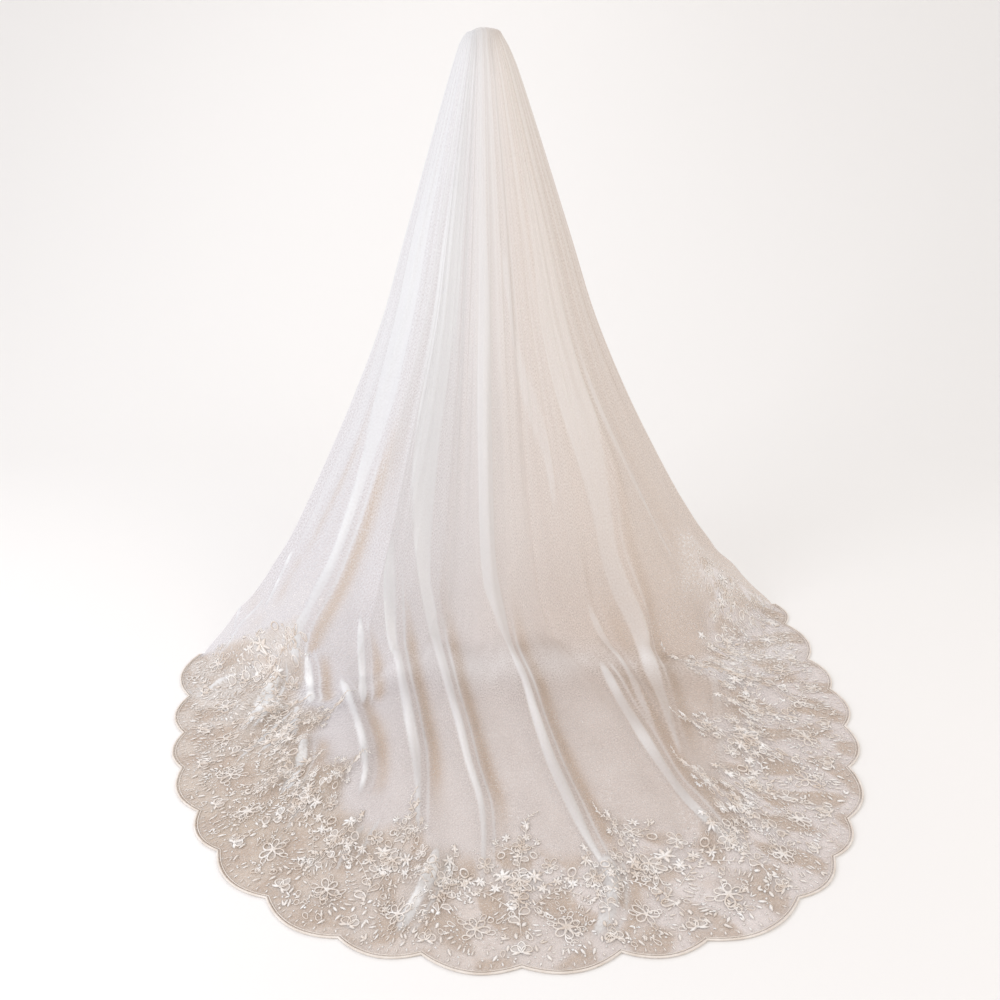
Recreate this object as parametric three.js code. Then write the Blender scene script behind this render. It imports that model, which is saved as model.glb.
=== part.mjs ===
// Cathedral bridal veil in embroidered tulle: one gathered net sheet that hangs from a small
// hair comb, lands on the floor behind the wearer and runs out in a long rounded train, with
// a deep lace border, sprays of blossom on its inner edge and a corded scalloped hem.
//
// Millimetres, +Z up. The origin is the seat of the comb at the back of the wearer's crown.
// The wearer faces +Y, the train runs towards -Y, and +X is at the right hand of someone
// who stands behind the train and looks at the wearer's back.

import * as THREE from 'three';

// Driving sizes
const SEAT_HEIGHT = 1620;        // comb above the floor, for a wearer of about 1.72 m in heels
const TULLE = 1.2;               // wall of the net
const LACE = 1.6;                // wall of the embroidered border
const SEAM_GAP = 0.3;            // clearance where two pieces are stitched edge to edge
const LACE_DEPTH = 300;          // border, from the hem to the dips of its inner edge
const SPRAY_RISE = 90;           // how much further in each spray of blossom reaches
const SCALLOPS_PER_SPRAY = 2;
const CORNER_DEPTH = 14;         // border where it ends, at the two back corners
const CORNER_SPAN = 1.1;         // scallops over which it closes there
const SCALLOP_WIDTH = 174;       // mean width of a scallop
const SCALLOP_BULGE = 0.16;      // rise of a scallop, as a share of its width
const CORD_RADIUS = 2.5;         // corded piping along the scallops
const PLEATS = 25;               // gathers over the comb
const PLEAT_SLOPE = 0.8;         // depth of a gather for each unit between two net columns
const GATHER_SPACING = 12;       // spacing past which a gather gets no deeper
const GATHER_END = 1450;         // drop by which the gathers have opened out
const GATHER_FADE = 750;         // stretch over which they do
const COMB_WIDTH = 96;
const COMB_THICKNESS = 2.4;
const COMB_BAR = 9;              // height of the comb's back
const COMB_TEETH = 15;
const TOOTH_LENGTH = 38;
const COMB_BEND = 130;           // radius of the comb, round the back of the head

// Plan of the hem on the floor: the cusp between each two scallops, from the left back corner
// round the front of the train to the right back corner
const CUSPS = [
  { x: -800, y: -572 }, { x: -767, y: -790 }, { x: -732, y: -958 }, { x: -694, y: -1100 },
  { x: -613, y: -1254 }, { x: -537, y: -1381 }, { x: -407, y: -1514 }, { x: -252, y: -1615 },
  { x: -96, y: -1653 }, { x: 86, y: -1683 }, { x: 267, y: -1648 }, { x: 429, y: -1620 },
  { x: 628, y: -1514 }, { x: 732, y: -1399 }, { x: 799, y: -1280 }, { x: 861, y: -1096 },
  { x: 906, y: -928 }, { x: 922, y: -756 }, { x: 908, y: -599 }, { x: 900, y: -393 },
  { x: 903, y: -262 },
].map((cusp) => new THREE.Vector2(cusp.x, cusp.y));
const SCALLOPS = CUSPS.length - 1;
const SCALLOP_STEPS = [0, 0.15, 0.38, 0.62, 0.85];   // net columns across one scallop

// How far the cloth stands off the comb on its way down. The side edges are pulled out into
// a flare, given as a share of their corner's reach, and the middle falls nearly straight.
const CROWN = [
  { height: 3, reach: 0 }, { height: 16, reach: 6 }, { height: 28, reach: 24 },
  { height: 24, reach: 46 },
];
const FALL = [
  { height: 0, flare: 0.071, middle: 57 },
  { height: -30, flare: 0.088, middle: 64 },
  { height: -150, flare: 0.137, middle: 95 },
  { height: -340, flare: 0.210, middle: 140 },
  { height: -540, flare: 0.285, middle: 185 },
  { height: -740, flare: 0.359, middle: 228 },
  { height: -940, flare: 0.455, middle: 270 },
  { height: -1120, flare: 0.557, middle: 308 },
  { height: -1310, flare: 0.678, middle: 350 },
  { height: -1430, flare: 0.778, middle: 380 },
  { height: -1540, flare: 0.895, middle: 425 },
  { height: -1605, flare: 0.975, middle: 500 },
];
const LEFT_FLARE = 5;            // scallops over which the left flare dies out
const RIGHT_FLARE = 6.5;
const LANDING = 90;              // length of the bend where the cloth meets the floor
const COMB_BLEND = 78;           // reach at which the gathers have left the comb's line
const TURN_SHARE = 0.5;          // share of the reach over which a rib turns square to the hem
const TURN_START = 1.5;          // scallops from a corner where that turn is complete
const TURN_SPAN = 2;             // scallops on each side that give the hem's direction

// Main folds, as lines in plan through their upper end, their bend where they land, a point on
// the floor and their lower end. Width is the half width of the ridge, rise its height.
const FOLDS = [
  { at: [[-210, -232], [-388, -486], [-480, -600], [-505, -690]], width: 60, rise: 34 },
  { at: [[-160, -240], [-258, -500], [-192, -872], [-127, -1330]], width: 44, rise: 40 },
  { at: [[-112, -242], [-180, -450], [-70, -900], [20, -1500]], width: 46, rise: 46 },
  { at: [[0, -230], [18, -382], [118, -830], [248, -1442]], width: 42, rise: 44 },
  { at: [[127, -190], [266, -423], [415, -800], [560, -1420]], width: 42, rise: 40 },
  { at: [[171, -213], [376, -386], [470, -640], [482, -1110]], width: 48, rise: 42 },
  { at: [[283, -232], [412, -345], [565, -457], [640, -560]], width: 46, rise: 26 },
  { at: [[355, -239], [518, -270], [660, -330], [740, -400]], width: 40, rise: 20 },
  { at: [[-377, -640], [-345, -780], [-285, -1000], [-262, -1200]], width: 38, rise: 30 },
  { at: [[-470, -760], [-430, -900], [-370, -1060], [-330, -1250]], width: 36, rise: 20 },
  { at: [[300, -700], [330, -980], [370, -1200], [420, -1450]], width: 38, rise: 22 },
  { at: [[620, -620], [650, -820], [670, -1000], [700, -1180]], width: 44, rise: 18 },
];
const FOLD_STEPS = 20;
const FOLD_FULL_REACH = 480;     // reach where a fold has its full width

const smooth = (x) => {
  const t = THREE.MathUtils.clamp(x, 0, 1);
  return t * t * (3 - 2 * t);
};
const lerp = THREE.MathUtils.lerp;
const outward = (run) => new THREE.Vector2(run.y, -run.x);
const bearing = (plan) => Math.atan2(plan.x, -plan.y);

// The hem: q counts scallops from the left back corner
const cuspLine = new THREE.SplineCurve(CUSPS);

function hemPoint(q) {
  const i = Math.min(Math.floor(q), SCALLOPS - 1);
  const f = q - i;
  const run = CUSPS[i + 1].clone().sub(CUSPS[i]);
  const bulge = SCALLOP_BULGE * 4 * f * (1 - f);
  return CUSPS[i].clone().addScaledVector(run, f).addScaledVector(outward(run), bulge);
}

// Angle between the hem's normal and the line from the comb, which a rib has to turn through
function hemSkew(q) {
  const at = (k) => cuspLine.getPoint(THREE.MathUtils.clamp(k, 0, SCALLOPS) / SCALLOPS);
  const normal = outward(at(q + TURN_SPAN).sub(at(q - TURN_SPAN)));
  const fromCorner = Math.min(q, SCALLOPS - q);
  return (bearing(normal) - bearing(at(q))) * smooth(fromCorner / TURN_START);
}

function middleShare(q) {
  return smooth(q / LEFT_FLARE) * smooth((SCALLOPS - q) / RIGHT_FLARE);
}

// A rib is the line of the cloth from the comb to one point of the hem: its height against
// its reach as one curve, and the turn that brings it square to the hem
function rib(q) {
  const hem = hemPoint(q);
  const corner = q < SCALLOPS / 2 ? CUSPS[0] : CUSPS[SCALLOPS];
  const share = middleShare(q);
  const floor = -SEAT_HEIGHT + LACE / 2;
  const line = CROWN.map((row) => new THREE.Vector2(row.reach, row.height));
  for (const row of FALL) {
    line.push(new THREE.Vector2(lerp(row.flare * corner.length(), row.middle, share), row.height));
  }
  const foot = line.at(-1).x;
  const landed = foot + Math.min(LANDING, (hem.length() - foot) / 2);
  const floorSteps = 6;
  for (let step = 0; step <= floorSteps; step += 1) {
    line.push(new THREE.Vector2(lerp(landed, hem.length(), step / floorSteps), floor));
  }
  const curve = new THREE.SplineCurve(line);
  curve.arcLengthDivisions = 400;
  return { q, curve, floor, hem, length: curve.getLength(), turn: Math.tan(hemSkew(q)) };
}

// Point of the resting cloth on a rib, and the direction that it faces there
function rest(line, along) {
  const share = THREE.MathUtils.clamp(along / line.length, 0, 1);
  const at = line.curve.getPointAt(share);
  const way = line.curve.getTangentAt(share);
  const full = line.hem.length();
  const left = THREE.MathUtils.clamp((full - at.x) / full, 0, 1);
  const eased = left < TURN_SHARE ? left * (1 - left / (2 * TURN_SHARE)) : TURN_SHARE / 2;
  const angle = bearing(line.hem) - eased * line.turn;
  const spread = new THREE.Vector2(Math.sin(angle), -Math.cos(angle));
  const plan = spread.clone().multiplyScalar(at.x);
  const offComb = smooth(at.x / COMB_BLEND);
  plan.lerpVectors(combLine(line.q / SCALLOPS), plan, offComb);
  const height = Math.max(at.y, line.floor);
  return {
    point: new THREE.Vector3(plan.x, plan.y, height),
    facing: new THREE.Vector3(-way.y * spread.x, -way.y * spread.y, way.x).normalize(),
    reach: at.x,
  };
}

// Where the gathers are stitched behind the comb's back, and the comb's bend itself
function combBend(x) {
  return (x * x) / (2 * COMB_BEND);
}
function combLine(share) {
  const x = lerp(-COMB_WIDTH / 2, COMB_WIDTH / 2, share);
  const y = combBend(x) - COMB_THICKNESS / 2 - SEAM_GAP - TULLE / 2;
  return new THREE.Vector2(x, y);
}

// Height that the main folds and the gathers add to the resting cloth
const foldLines = FOLDS.map((fold) => ({
  ...fold,
  points: new THREE.SplineCurve(fold.at.map(([x, y]) => new THREE.Vector2(x, y)))
    .getPoints(FOLD_STEPS),
}));

function foldHeight(point, reach) {
  const here = new THREE.Vector2(point.x, point.y);
  let height = 0;
  for (const fold of foldLines) {
    const gaps = fold.points.map((spot) => spot.distanceTo(here));
    const gap = Math.min(...gaps);
    const along = gaps.indexOf(gap) / FOLD_STEPS;
    const width = fold.width * THREE.MathUtils.clamp(reach / FOLD_FULL_REACH, 0.2, 1);
    const ends = smooth(along / 0.3) * smooth((1 - along) / 0.3);
    height += fold.rise * ends * Math.exp(-((gap / width) ** 2));
  }
  return height;
}

function gatherHeight(column, along, height, spacing) {
  const wave = Math.sin((2 * Math.PI * PLEATS * column) / (ribs.length - 1));
  const uneven = 0.7 + 0.3 * Math.cos(2.3 * columns[column] + along / 400);
  const start = smooth(along / 40);
  const end = smooth((height + GATHER_END) / GATHER_FADE);
  return PLEAT_SLOPE * spacing * wave * uneven * start * end;
}

// Depth of the lace border, measured along a rib from the hem: a wavy inner edge that points
// inwards at each spray and closes against the side edge at both back corners
function laceDepth(q) {
  const phase = Math.abs(((q / SCALLOPS_PER_SPRAY) % 1) * 2 - 1);
  const spray = Math.max(0, 1 - phase) ** 1.6;
  const corner = Math.min(q, SCALLOPS - q) / CORNER_SPAN;
  const closed = Math.sin((Math.PI / 2) * THREE.MathUtils.clamp(corner, 0, 1));
  return CORNER_DEPTH + (LACE_DEPTH + SPRAY_RISE * spray - CORNER_DEPTH) * closed;
}

// Clearance along a rib that keeps the seam's gap where the seam runs slantwise
function seamGap(q) {
  const step = 0.1;
  const rise = [-step, step].map((aside) => laceDepth(q + aside) - laceDepth(q));
  const slant = Math.max(...rise.map(Math.abs)) / (step * SCALLOP_WIDTH);
  return SEAM_GAP * Math.hypot(1, slant);
}

// Net columns and the cloth at each of them
const columns = [];
for (let scallop = 0; scallop < SCALLOPS; scallop += 1) {
  columns.push(...SCALLOP_STEPS.map((step) => scallop + step));
}
columns.push(SCALLOPS);
const ribs = columns.map(rib);

function clothPoint(column, along) {
  const line = ribs[column];
  const spot = rest(line, along);
  const beside = ribs[column === 0 ? 1 : column - 1];
  const spacing = rest(beside, along).point.distanceTo(spot.point);
  const toHem = line.length - along;
  const height = foldHeight(spot.point, spot.reach) * smooth(toHem / 160)
    + gatherHeight(column, along, spot.point.z, Math.min(spacing, GATHER_SPACING));
  const point = spot.point.addScaledVector(spot.facing, height);
  point.z = Math.max(point.z, line.floor);
  return point;
}

// The cloth's own normal, from the points close round one, so that pieces that are stitched
// edge to edge turn their edges the same way
function clothSpot(column, along) {
  const step = 3;
  const left = clothPoint(Math.max(column - 1, 0), along);
  const right = clothPoint(Math.min(column + 1, ribs.length - 1), along);
  const up = clothPoint(column, Math.max(along - step, 0));
  const down = clothPoint(column, Math.min(along + step, ribs[column].length));
  const normal = down.sub(up).cross(right.sub(left)).normalize();
  return { point: clothPoint(column, along), normal };
}

// A wall of even thickness about a grid of cloth spots, closed round all its edges
function wall(grid, thickness) {
  const rows = grid.length;
  const across = grid[0].length;
  const vertices = [];
  for (const side of [1, -1]) {
    for (const spot of grid.flat()) {
      vertices.push(spot.point.clone().addScaledVector(spot.normal, (side * thickness) / 2));
    }
  }
  const index = [];
  const back = rows * across;
  const quad = (a, b, c, d) => index.push(a, b, c, a, c, d);
  for (let row = 0; row < rows - 1; row += 1) {
    for (let column = 0; column < across - 1; column += 1) {
      const a = row * across + column;
      const c = a + across;
      quad(a, c, c + 1, a + 1);
      quad(back + a, back + a + 1, back + c + 1, back + c);
    }
  }
  for (let column = 0; column < across - 1; column += 1) {
    const last = (rows - 1) * across + column;
    quad(column, column + 1, back + column + 1, back + column);
    quad(last, back + last, back + last + 1, last + 1);
  }
  for (let row = 0; row < rows - 1; row += 1) {
    const left = row * across;
    const right = left + across - 1;
    quad(left, back + left, back + left + across, left + across);
    quad(right, right + across, back + right + across, back + right);
  }
  return solid(vertices, index);
}

function solid(vertices, index) {
  const geometry = new THREE.BufferGeometry();
  geometry.setFromPoints(vertices);
  geometry.setIndex(index);
  geometry.computeVertexNormals();
  return geometry;
}

// The gathered net, from the comb to the inner edge of the lace. Rows are close together over
// the crown and at the landing, where the cloth bends.
const TULLE_ROWS = [
  0, 0.006, 0.014, 0.022, 0.034, 0.055, 0.1, 0.17, 0.25, 0.33, 0.41, 0.49, 0.56, 0.62, 0.68,
  0.74, 0.8, 0.87, 0.935, 1,
];
function tulleGeometry() {
  const grid = TULLE_ROWS.map((share) => ribs.map((line, column) => {
    const end = line.length - laceDepth(line.q) - seamGap(line.q);
    return clothSpot(column, share * end);
  }));
  return wall(grid, TULLE);
}

const LACE_ROWS = [0, 0.22, 0.46, 0.72, 1];
function laceGeometry() {
  const grid = LACE_ROWS.map((share) => ribs.map((line, column) => {
    const depth = laceDepth(line.q);
    return clothSpot(column, line.length - depth * (1 - share));
  }));
  return wall(grid, LACE);
}

// Corded piping: a round cord laid against the scalloped edge, mitred at each cusp
function cordGeometry() {
  const sides = 6;
  const edge = columns.map(hemPoint);
  const vertices = [];
  edge.forEach((point, i) => {
    const before = point.clone().sub(edge[Math.max(i - 1, 0)]);
    const after = edge[Math.min(i + 1, edge.length - 1)].clone().sub(point);
    const first = outward(i > 0 ? before : after).normalize();
    const second = outward(i < edge.length - 1 ? after : before).normalize();
    const miter = first.clone().add(second).divideScalar(1 + first.dot(second));
    for (let side = 0; side < sides; side += 1) {
      const turn = (2 * Math.PI * (side + 0.5)) / sides;
      const off = CORD_RADIUS + SEAM_GAP + CORD_RADIUS * Math.cos(turn);
      const up = CORD_RADIUS * (1 + Math.sin(turn));
      vertices.push(new THREE.Vector3(
        point.x + miter.x * off,
        point.y + miter.y * off,
        -SEAT_HEIGHT + up,
      ));
    }
  });
  const index = [];
  for (let i = 0; i < edge.length - 1; i += 1) {
    for (let side = 0; side < sides; side += 1) {
      const a = i * sides + side;
      const b = i * sides + ((side + 1) % sides);
      index.push(a, a + sides, b + sides, a, b + sides, b);
    }
  }
  const last = (edge.length - 1) * sides;
  for (let side = 1; side < sides - 1; side += 1) {
    index.push(0, side, side + 1);
    index.push(last, last + side + 1, last + side);
  }
  return solid(vertices, index);
}

// The hair comb: a flat back with tapered teeth, cut from one plate and bent round the head
function combGeometry() {
  const pitch = COMB_WIDTH / COMB_TEETH;
  const root = pitch * 0.3;
  const tip = pitch * 0.16;
  const half = COMB_WIDTH / 2;
  const shape = new THREE.Shape();
  shape.moveTo(-half, COMB_BAR);
  for (let tooth = 0; tooth < COMB_TEETH; tooth += 1) {
    const middle = -half + pitch * (tooth + 0.5);
    shape.lineTo(tooth === 0 ? -half : middle - root, 0);
    shape.lineTo(middle - tip, -TOOTH_LENGTH);
    shape.lineTo(middle + tip, -TOOTH_LENGTH);
    shape.lineTo(tooth === COMB_TEETH - 1 ? half : middle + root, 0);
  }
  shape.lineTo(half, COMB_BAR);
  for (let tooth = COMB_TEETH - 1; tooth > 0; tooth -= 1) {
    shape.lineTo(-half + pitch * tooth, COMB_BAR);
  }
  shape.closePath();
  const plate = new THREE.ExtrudeGeometry(shape, { depth: COMB_THICKNESS, bevelEnabled: false });
  plate.rotateX(Math.PI / 2);
  plate.translate(0, COMB_THICKNESS / 2, 0);
  const spots = plate.attributes.position;
  for (let i = 0; i < spots.count; i += 1) {
    spots.setY(i, spots.getY(i) + combBend(spots.getX(i)));
  }
  plate.computeVertexNormals();
  return plate;
}

function piece(name, geometry, finish) {
  const mesh = new THREE.Mesh(geometry, new THREE.MeshStandardMaterial(finish));
  mesh.name = name;
  return mesh;
}

const veil = new THREE.Group();
veil.add(piece('comb', combGeometry(), { color: 0xd8d2c8, roughness: 0.3, metalness: 0 }));
veil.add(piece('tulle', tulleGeometry(), {
  color: 0xe8e4df, roughness: 0.8, metalness: 0, transparent: true, opacity: 0.6,
}));
veil.add(piece('lace_border', laceGeometry(), { color: 0xf0e9e1, roughness: 0.75, metalness: 0 }));
veil.add(piece('scallop_cord', cordGeometry(), { color: 0xf6f1ea, roughness: 0.5, metalness: 0 }));

export default veil;
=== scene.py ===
# %% [markdown]
# A cathedral veil in embroidered tulle. One net sheet is gathered on a hair comb, hangs from
# the crown, lands on the floor behind the wearer and runs out in a rounded train with a deep
# lace border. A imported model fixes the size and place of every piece. This lesson dresses it:
# each step says what the piece is on a real veil, how it could be made, and why this way.

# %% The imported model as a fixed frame
import math

import bpy
import numpy as np
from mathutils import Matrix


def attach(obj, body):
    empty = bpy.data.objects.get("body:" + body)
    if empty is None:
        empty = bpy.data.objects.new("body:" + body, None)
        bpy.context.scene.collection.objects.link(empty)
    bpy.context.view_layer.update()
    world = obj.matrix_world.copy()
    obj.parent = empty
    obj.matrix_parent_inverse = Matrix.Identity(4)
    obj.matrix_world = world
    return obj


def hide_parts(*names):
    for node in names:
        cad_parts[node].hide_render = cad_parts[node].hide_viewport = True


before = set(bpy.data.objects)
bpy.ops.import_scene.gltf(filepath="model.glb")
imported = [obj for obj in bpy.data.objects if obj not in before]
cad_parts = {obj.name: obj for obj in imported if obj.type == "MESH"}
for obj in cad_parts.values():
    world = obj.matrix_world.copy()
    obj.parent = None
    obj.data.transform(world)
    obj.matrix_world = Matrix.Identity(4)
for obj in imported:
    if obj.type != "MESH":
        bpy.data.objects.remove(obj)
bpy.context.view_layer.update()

print("solids:", sorted(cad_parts))

# %% [markdown]
# A few short helpers come first: a colour from its screen code, an object from its data, a mesh
# from points and faces, and a material whose shader is set by the names of its sockets.

# %% Colours, objects and materials in short


def linear(code):
    """A screen colour such as e6e2dc as linear red, green, blue and alpha."""
    shares = [int(code[i:i + 2], 16) / 255 for i in (0, 2, 4)]
    return [c / 12.92 if c <= 0.04045 else ((c + 0.055) / 1.055) ** 2.4 for c in shares] + [1.0]


def placed(name, data):
    """A new object in the scene for a mesh, a camera or a lamp."""
    thing = bpy.data.objects.new(name, data)
    bpy.context.scene.collection.objects.link(thing)
    return thing


def mesh_object(name, points, faces, edges=()):
    """A smooth mesh of points and faces, or of points and loose edges, as an object."""
    mesh = bpy.data.meshes.new(name)
    mesh.from_pydata([tuple(p) for p in points], list(edges), [tuple(f) for f in faces])
    mesh.update()
    mesh.polygons.foreach_set("use_smooth", [True] * len(mesh.polygons))
    return placed(name, mesh)


def new_material(name, **values):
    """A material, its node tree and its shader, with the shader's sockets set by name."""
    material = bpy.data.materials.new(name)
    material.use_nodes = True
    shader = material.node_tree.nodes["Principled BSDF"]
    for socket, value in values.items():
        shader.inputs[socket.replace("_", " ")].default_value = value
    return material, material.node_tree, shader


print("mid grey as linear colour:", [round(share, 3) for share in linear("808080")])

# %% [markdown]
# The stage is a pale floor that curves up into a pale wall, so no line shows behind the net.
# It could be a plane and a wall, but their corner would show through the tulle.

# %% The stage
FLOOR_Z = -1.62
STAGE_HALF_WIDTH = 9.0
STAGE_FRONT = -7.0
STAGE_BACK = 3.4
STAGE_BEND = 2.2
STAGE_TOP = 6.0
STAGE_STEPS = 16
STAGE_COLOUR = "efedeb"


def stage_profile():
    """The stage from the side, as places along y and z: floor, bend and wall."""
    line = [(STAGE_FRONT, FLOOR_Z), (STAGE_BACK - STAGE_BEND, FLOOR_Z)]
    for step in range(1, STAGE_STEPS + 1):
        turn = math.pi / 2 * step / STAGE_STEPS
        line.append((STAGE_BACK - STAGE_BEND + STAGE_BEND * math.sin(turn),
                     FLOOR_Z + STAGE_BEND * (1 - math.cos(turn))))
    line.append((STAGE_BACK, STAGE_TOP))
    return line


profile = stage_profile()
stage_points = [(side * STAGE_HALF_WIDTH, y, z) for y, z in profile for side in (-1, 1)]
stage_faces = [(2 * i, 2 * i + 1, 2 * i + 3, 2 * i + 2) for i in range(len(profile) - 1)]
floor = mesh_object("floor", stage_points, stage_faces)
floor.data.materials.append(
    new_material("pale_floor", Base_Color=linear(STAGE_COLOUR), Roughness=0.9)[0])
print("stage faces:", len(stage_faces))

# %% [markdown]
# The camera stands behind the train at about head height and looks 21 degrees down, which is
# the angle at which the evenly spaced scallops of the hem come out as the photograph has them.

# %% The camera
CAMERA_PLACE = (0.047, -3.05, -0.2)
CAMERA_PITCH = 21.0
CAMERA_LENS = 36.0
CAMERA_SENSOR = 36.0


def add_camera():
    data = bpy.data.cameras.new("camera")
    data.lens = CAMERA_LENS
    data.sensor_width = CAMERA_SENSOR
    camera = placed("camera", data)
    camera.location = CAMERA_PLACE
    camera.rotation_euler = (math.radians(90 - CAMERA_PITCH), 0, 0)
    bpy.context.scene.camera = camera


add_camera()
print("camera at", CAMERA_PLACE)

# %% [markdown]
# Net shows its folds where light comes from one side, and glows where light comes through it.
# A cool window on the left does the first, a wide one behind does the second, and a weaker warm
# one on the right keeps the shadows open. The rest is an even pale room.

# %% The lights
LIGHTS = [
    # name, place, aimed at, size, power, colour
    ("left_window", (-3.3, -2.6, 0.7), (0, -0.7, -1.2), (2.0, 2.2), 72, "f3f6ff"),
    ("back_window", (-0.6, 2.6, 1.8), (0, -0.4, -0.9), (3.0, 1.8), 24, "fbfcff"),
    ("right_fill", (3.4, -3.2, 1.6), (0, -0.7, -1.2), (3.0, 3.0), 38, "fff2e6"),
]
ROOM_COLOUR = "fbfafa"
ROOM_STRENGTH = 0.88


def add_window(name, place, aim, size, power, code):
    data = bpy.data.lights.new(name, "AREA")
    data.shape = "RECTANGLE"
    data.size, data.size_y = size
    data.energy = power
    data.color = linear(code)[:3]
    lamp = placed(name, data)
    lamp.location = place
    way = np.array(aim, float) - np.array(place, float)
    flat = math.hypot(way[0], way[1])
    lamp.rotation_euler = (math.atan2(flat, -way[2]), 0, math.atan2(way[1], way[0]) - math.pi / 2)


for row in LIGHTS:
    add_window(*row)
world = bpy.data.worlds.new("soft_room")
world.use_nodes = True
room = world.node_tree.nodes["Background"]
room.inputs["Color"].default_value = linear(ROOM_COLOUR)
room.inputs["Strength"].default_value = ROOM_STRENGTH
bpy.context.scene.world = world
bpy.context.scene.view_settings.view_transform = "Standard"
print("lights:", [row[0] for row in LIGHTS])

# %% [markdown]
# The whole veil is one cloth, so all its pieces are laid on one shape. That shape is worked
# out here from the same sizes as the solids: a hem of scallops in plan, ribs that run from the
# comb to each point of the hem, and the folds and gathers that stand on them. A cloth
# simulation could fall like this too, but not into these folds, and not the same each time.

# %% The hem in plan
CUSPS = np.array([    # millimetres in plan, from the left back corner
    (-800, -572), (-767, -790), (-732, -958), (-694, -1100), (-613, -1254), (-537, -1381),
    (-407, -1514), (-252, -1615), (-96, -1653), (86, -1683), (267, -1648), (429, -1620),
    (628, -1514), (732, -1399), (799, -1280), (861, -1096), (906, -928), (922, -756), (908, -599),
    (900, -393), (903, -262),
]) / 1000
SCALLOPS = len(CUSPS) - 1
SCALLOP_BULGE = 0.16
SCALLOP_WIDTH = 0.174
HEM_LENGTH = SCALLOPS * SCALLOP_WIDTH
TURN_SHARE = 0.5
TURN_START = 1.5
TURN_SPAN = 2


def smooth(x):
    t = np.clip(x, 0, 1)
    return t * t * (3 - 2 * t)


def outward(run):
    return np.stack([run[..., 1], -run[..., 0]], -1)


def bearing(plan):
    return np.arctan2(plan[..., 0], -plan[..., 1])


def hem_point(q):
    """Points of the scalloped edge. q counts scallops from the left back corner."""
    i = np.clip(np.floor(q).astype(int), 0, SCALLOPS - 1)
    f = (q - i)[..., None]
    run = CUSPS[i + 1] - CUSPS[i]
    return CUSPS[i] + run * f + outward(run) * SCALLOP_BULGE * 4 * f * (1 - f)


def spline(points, t):
    """A smooth line through points, at t counted in points. Axis 0 runs along the line."""
    last = len(points) - 1
    t = np.clip(t, 0, last)
    i = np.clip(np.floor(t).astype(int), 0, last - 1)
    f = (t - i).reshape((-1,) + (1,) * (points.ndim - 1))
    a, b, c, d = (points[np.clip(i + k, 0, last)] for k in (-1, 0, 1, 2))
    return 0.5 * (2 * b + (c - a) * f + (2 * a - 5 * b + 4 * c - d) * f ** 2
                  + (3 * b - a - 3 * c + d) * f ** 3)


def hem_skew(q):
    """The angle that a rib turns through to meet the hem square."""
    normal = outward(spline(CUSPS, q + TURN_SPAN) - spline(CUSPS, q - TURN_SPAN))
    from_corner = np.minimum(q, SCALLOPS - q)
    return (bearing(normal) - bearing(spline(CUSPS, q))) * smooth(from_corner / TURN_START)


print("hem, widest:", round(float(np.ptp(CUSPS[:, 0])), 3), "m")

# %% [markdown]
# A rib's height against its reach is a smooth line through a few rows: over the comb, down the
# fall, round the landing and out along the floor. The side edges are pulled out into a flare,
# and the two shoulders of the crown hang a little lower than its middle.

# %% The ribs of the cloth
LACE_WALL = 0.0016
CLOTH_FLOOR = FLOOR_Z + LACE_WALL / 2
CROWN = np.array([(0.003, 0.0), (0.016, 0.006), (0.028, 0.024), (0.024, 0.046)])
FALL = np.array([
    # height, share of the corner's reach, reach of the middle
    (0.000, 0.071, 0.057), (-0.030, 0.088, 0.064), (-0.150, 0.137, 0.095),
    (-0.340, 0.210, 0.140), (-0.540, 0.285, 0.185), (-0.740, 0.359, 0.228),
    (-0.940, 0.455, 0.270), (-1.120, 0.557, 0.308), (-1.310, 0.678, 0.350),
    (-1.430, 0.778, 0.380), (-1.540, 0.895, 0.425), (-1.605, 0.975, 0.500),
])
LEFT_FLARE = 5.0
RIGHT_FLARE = 6.5
LANDING = 0.090
FLOOR_STEPS = 6
RIB_SAMPLES = 14
COMB_WIDTH = 0.096
COMB_THICKNESS = 0.0024
COMB_BEND = 0.130
COMB_BLEND = 0.078
COMB_BLEND_MORE = 0.3
CROWN_DROP = (0.014, 0.006)
CROWN_REACH = 0.030
CROWN_HALF = 0.018
CROWN_POWER = 2.5
SEAM_GAP = 0.0003
TULLE_WALL = 0.0012


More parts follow.
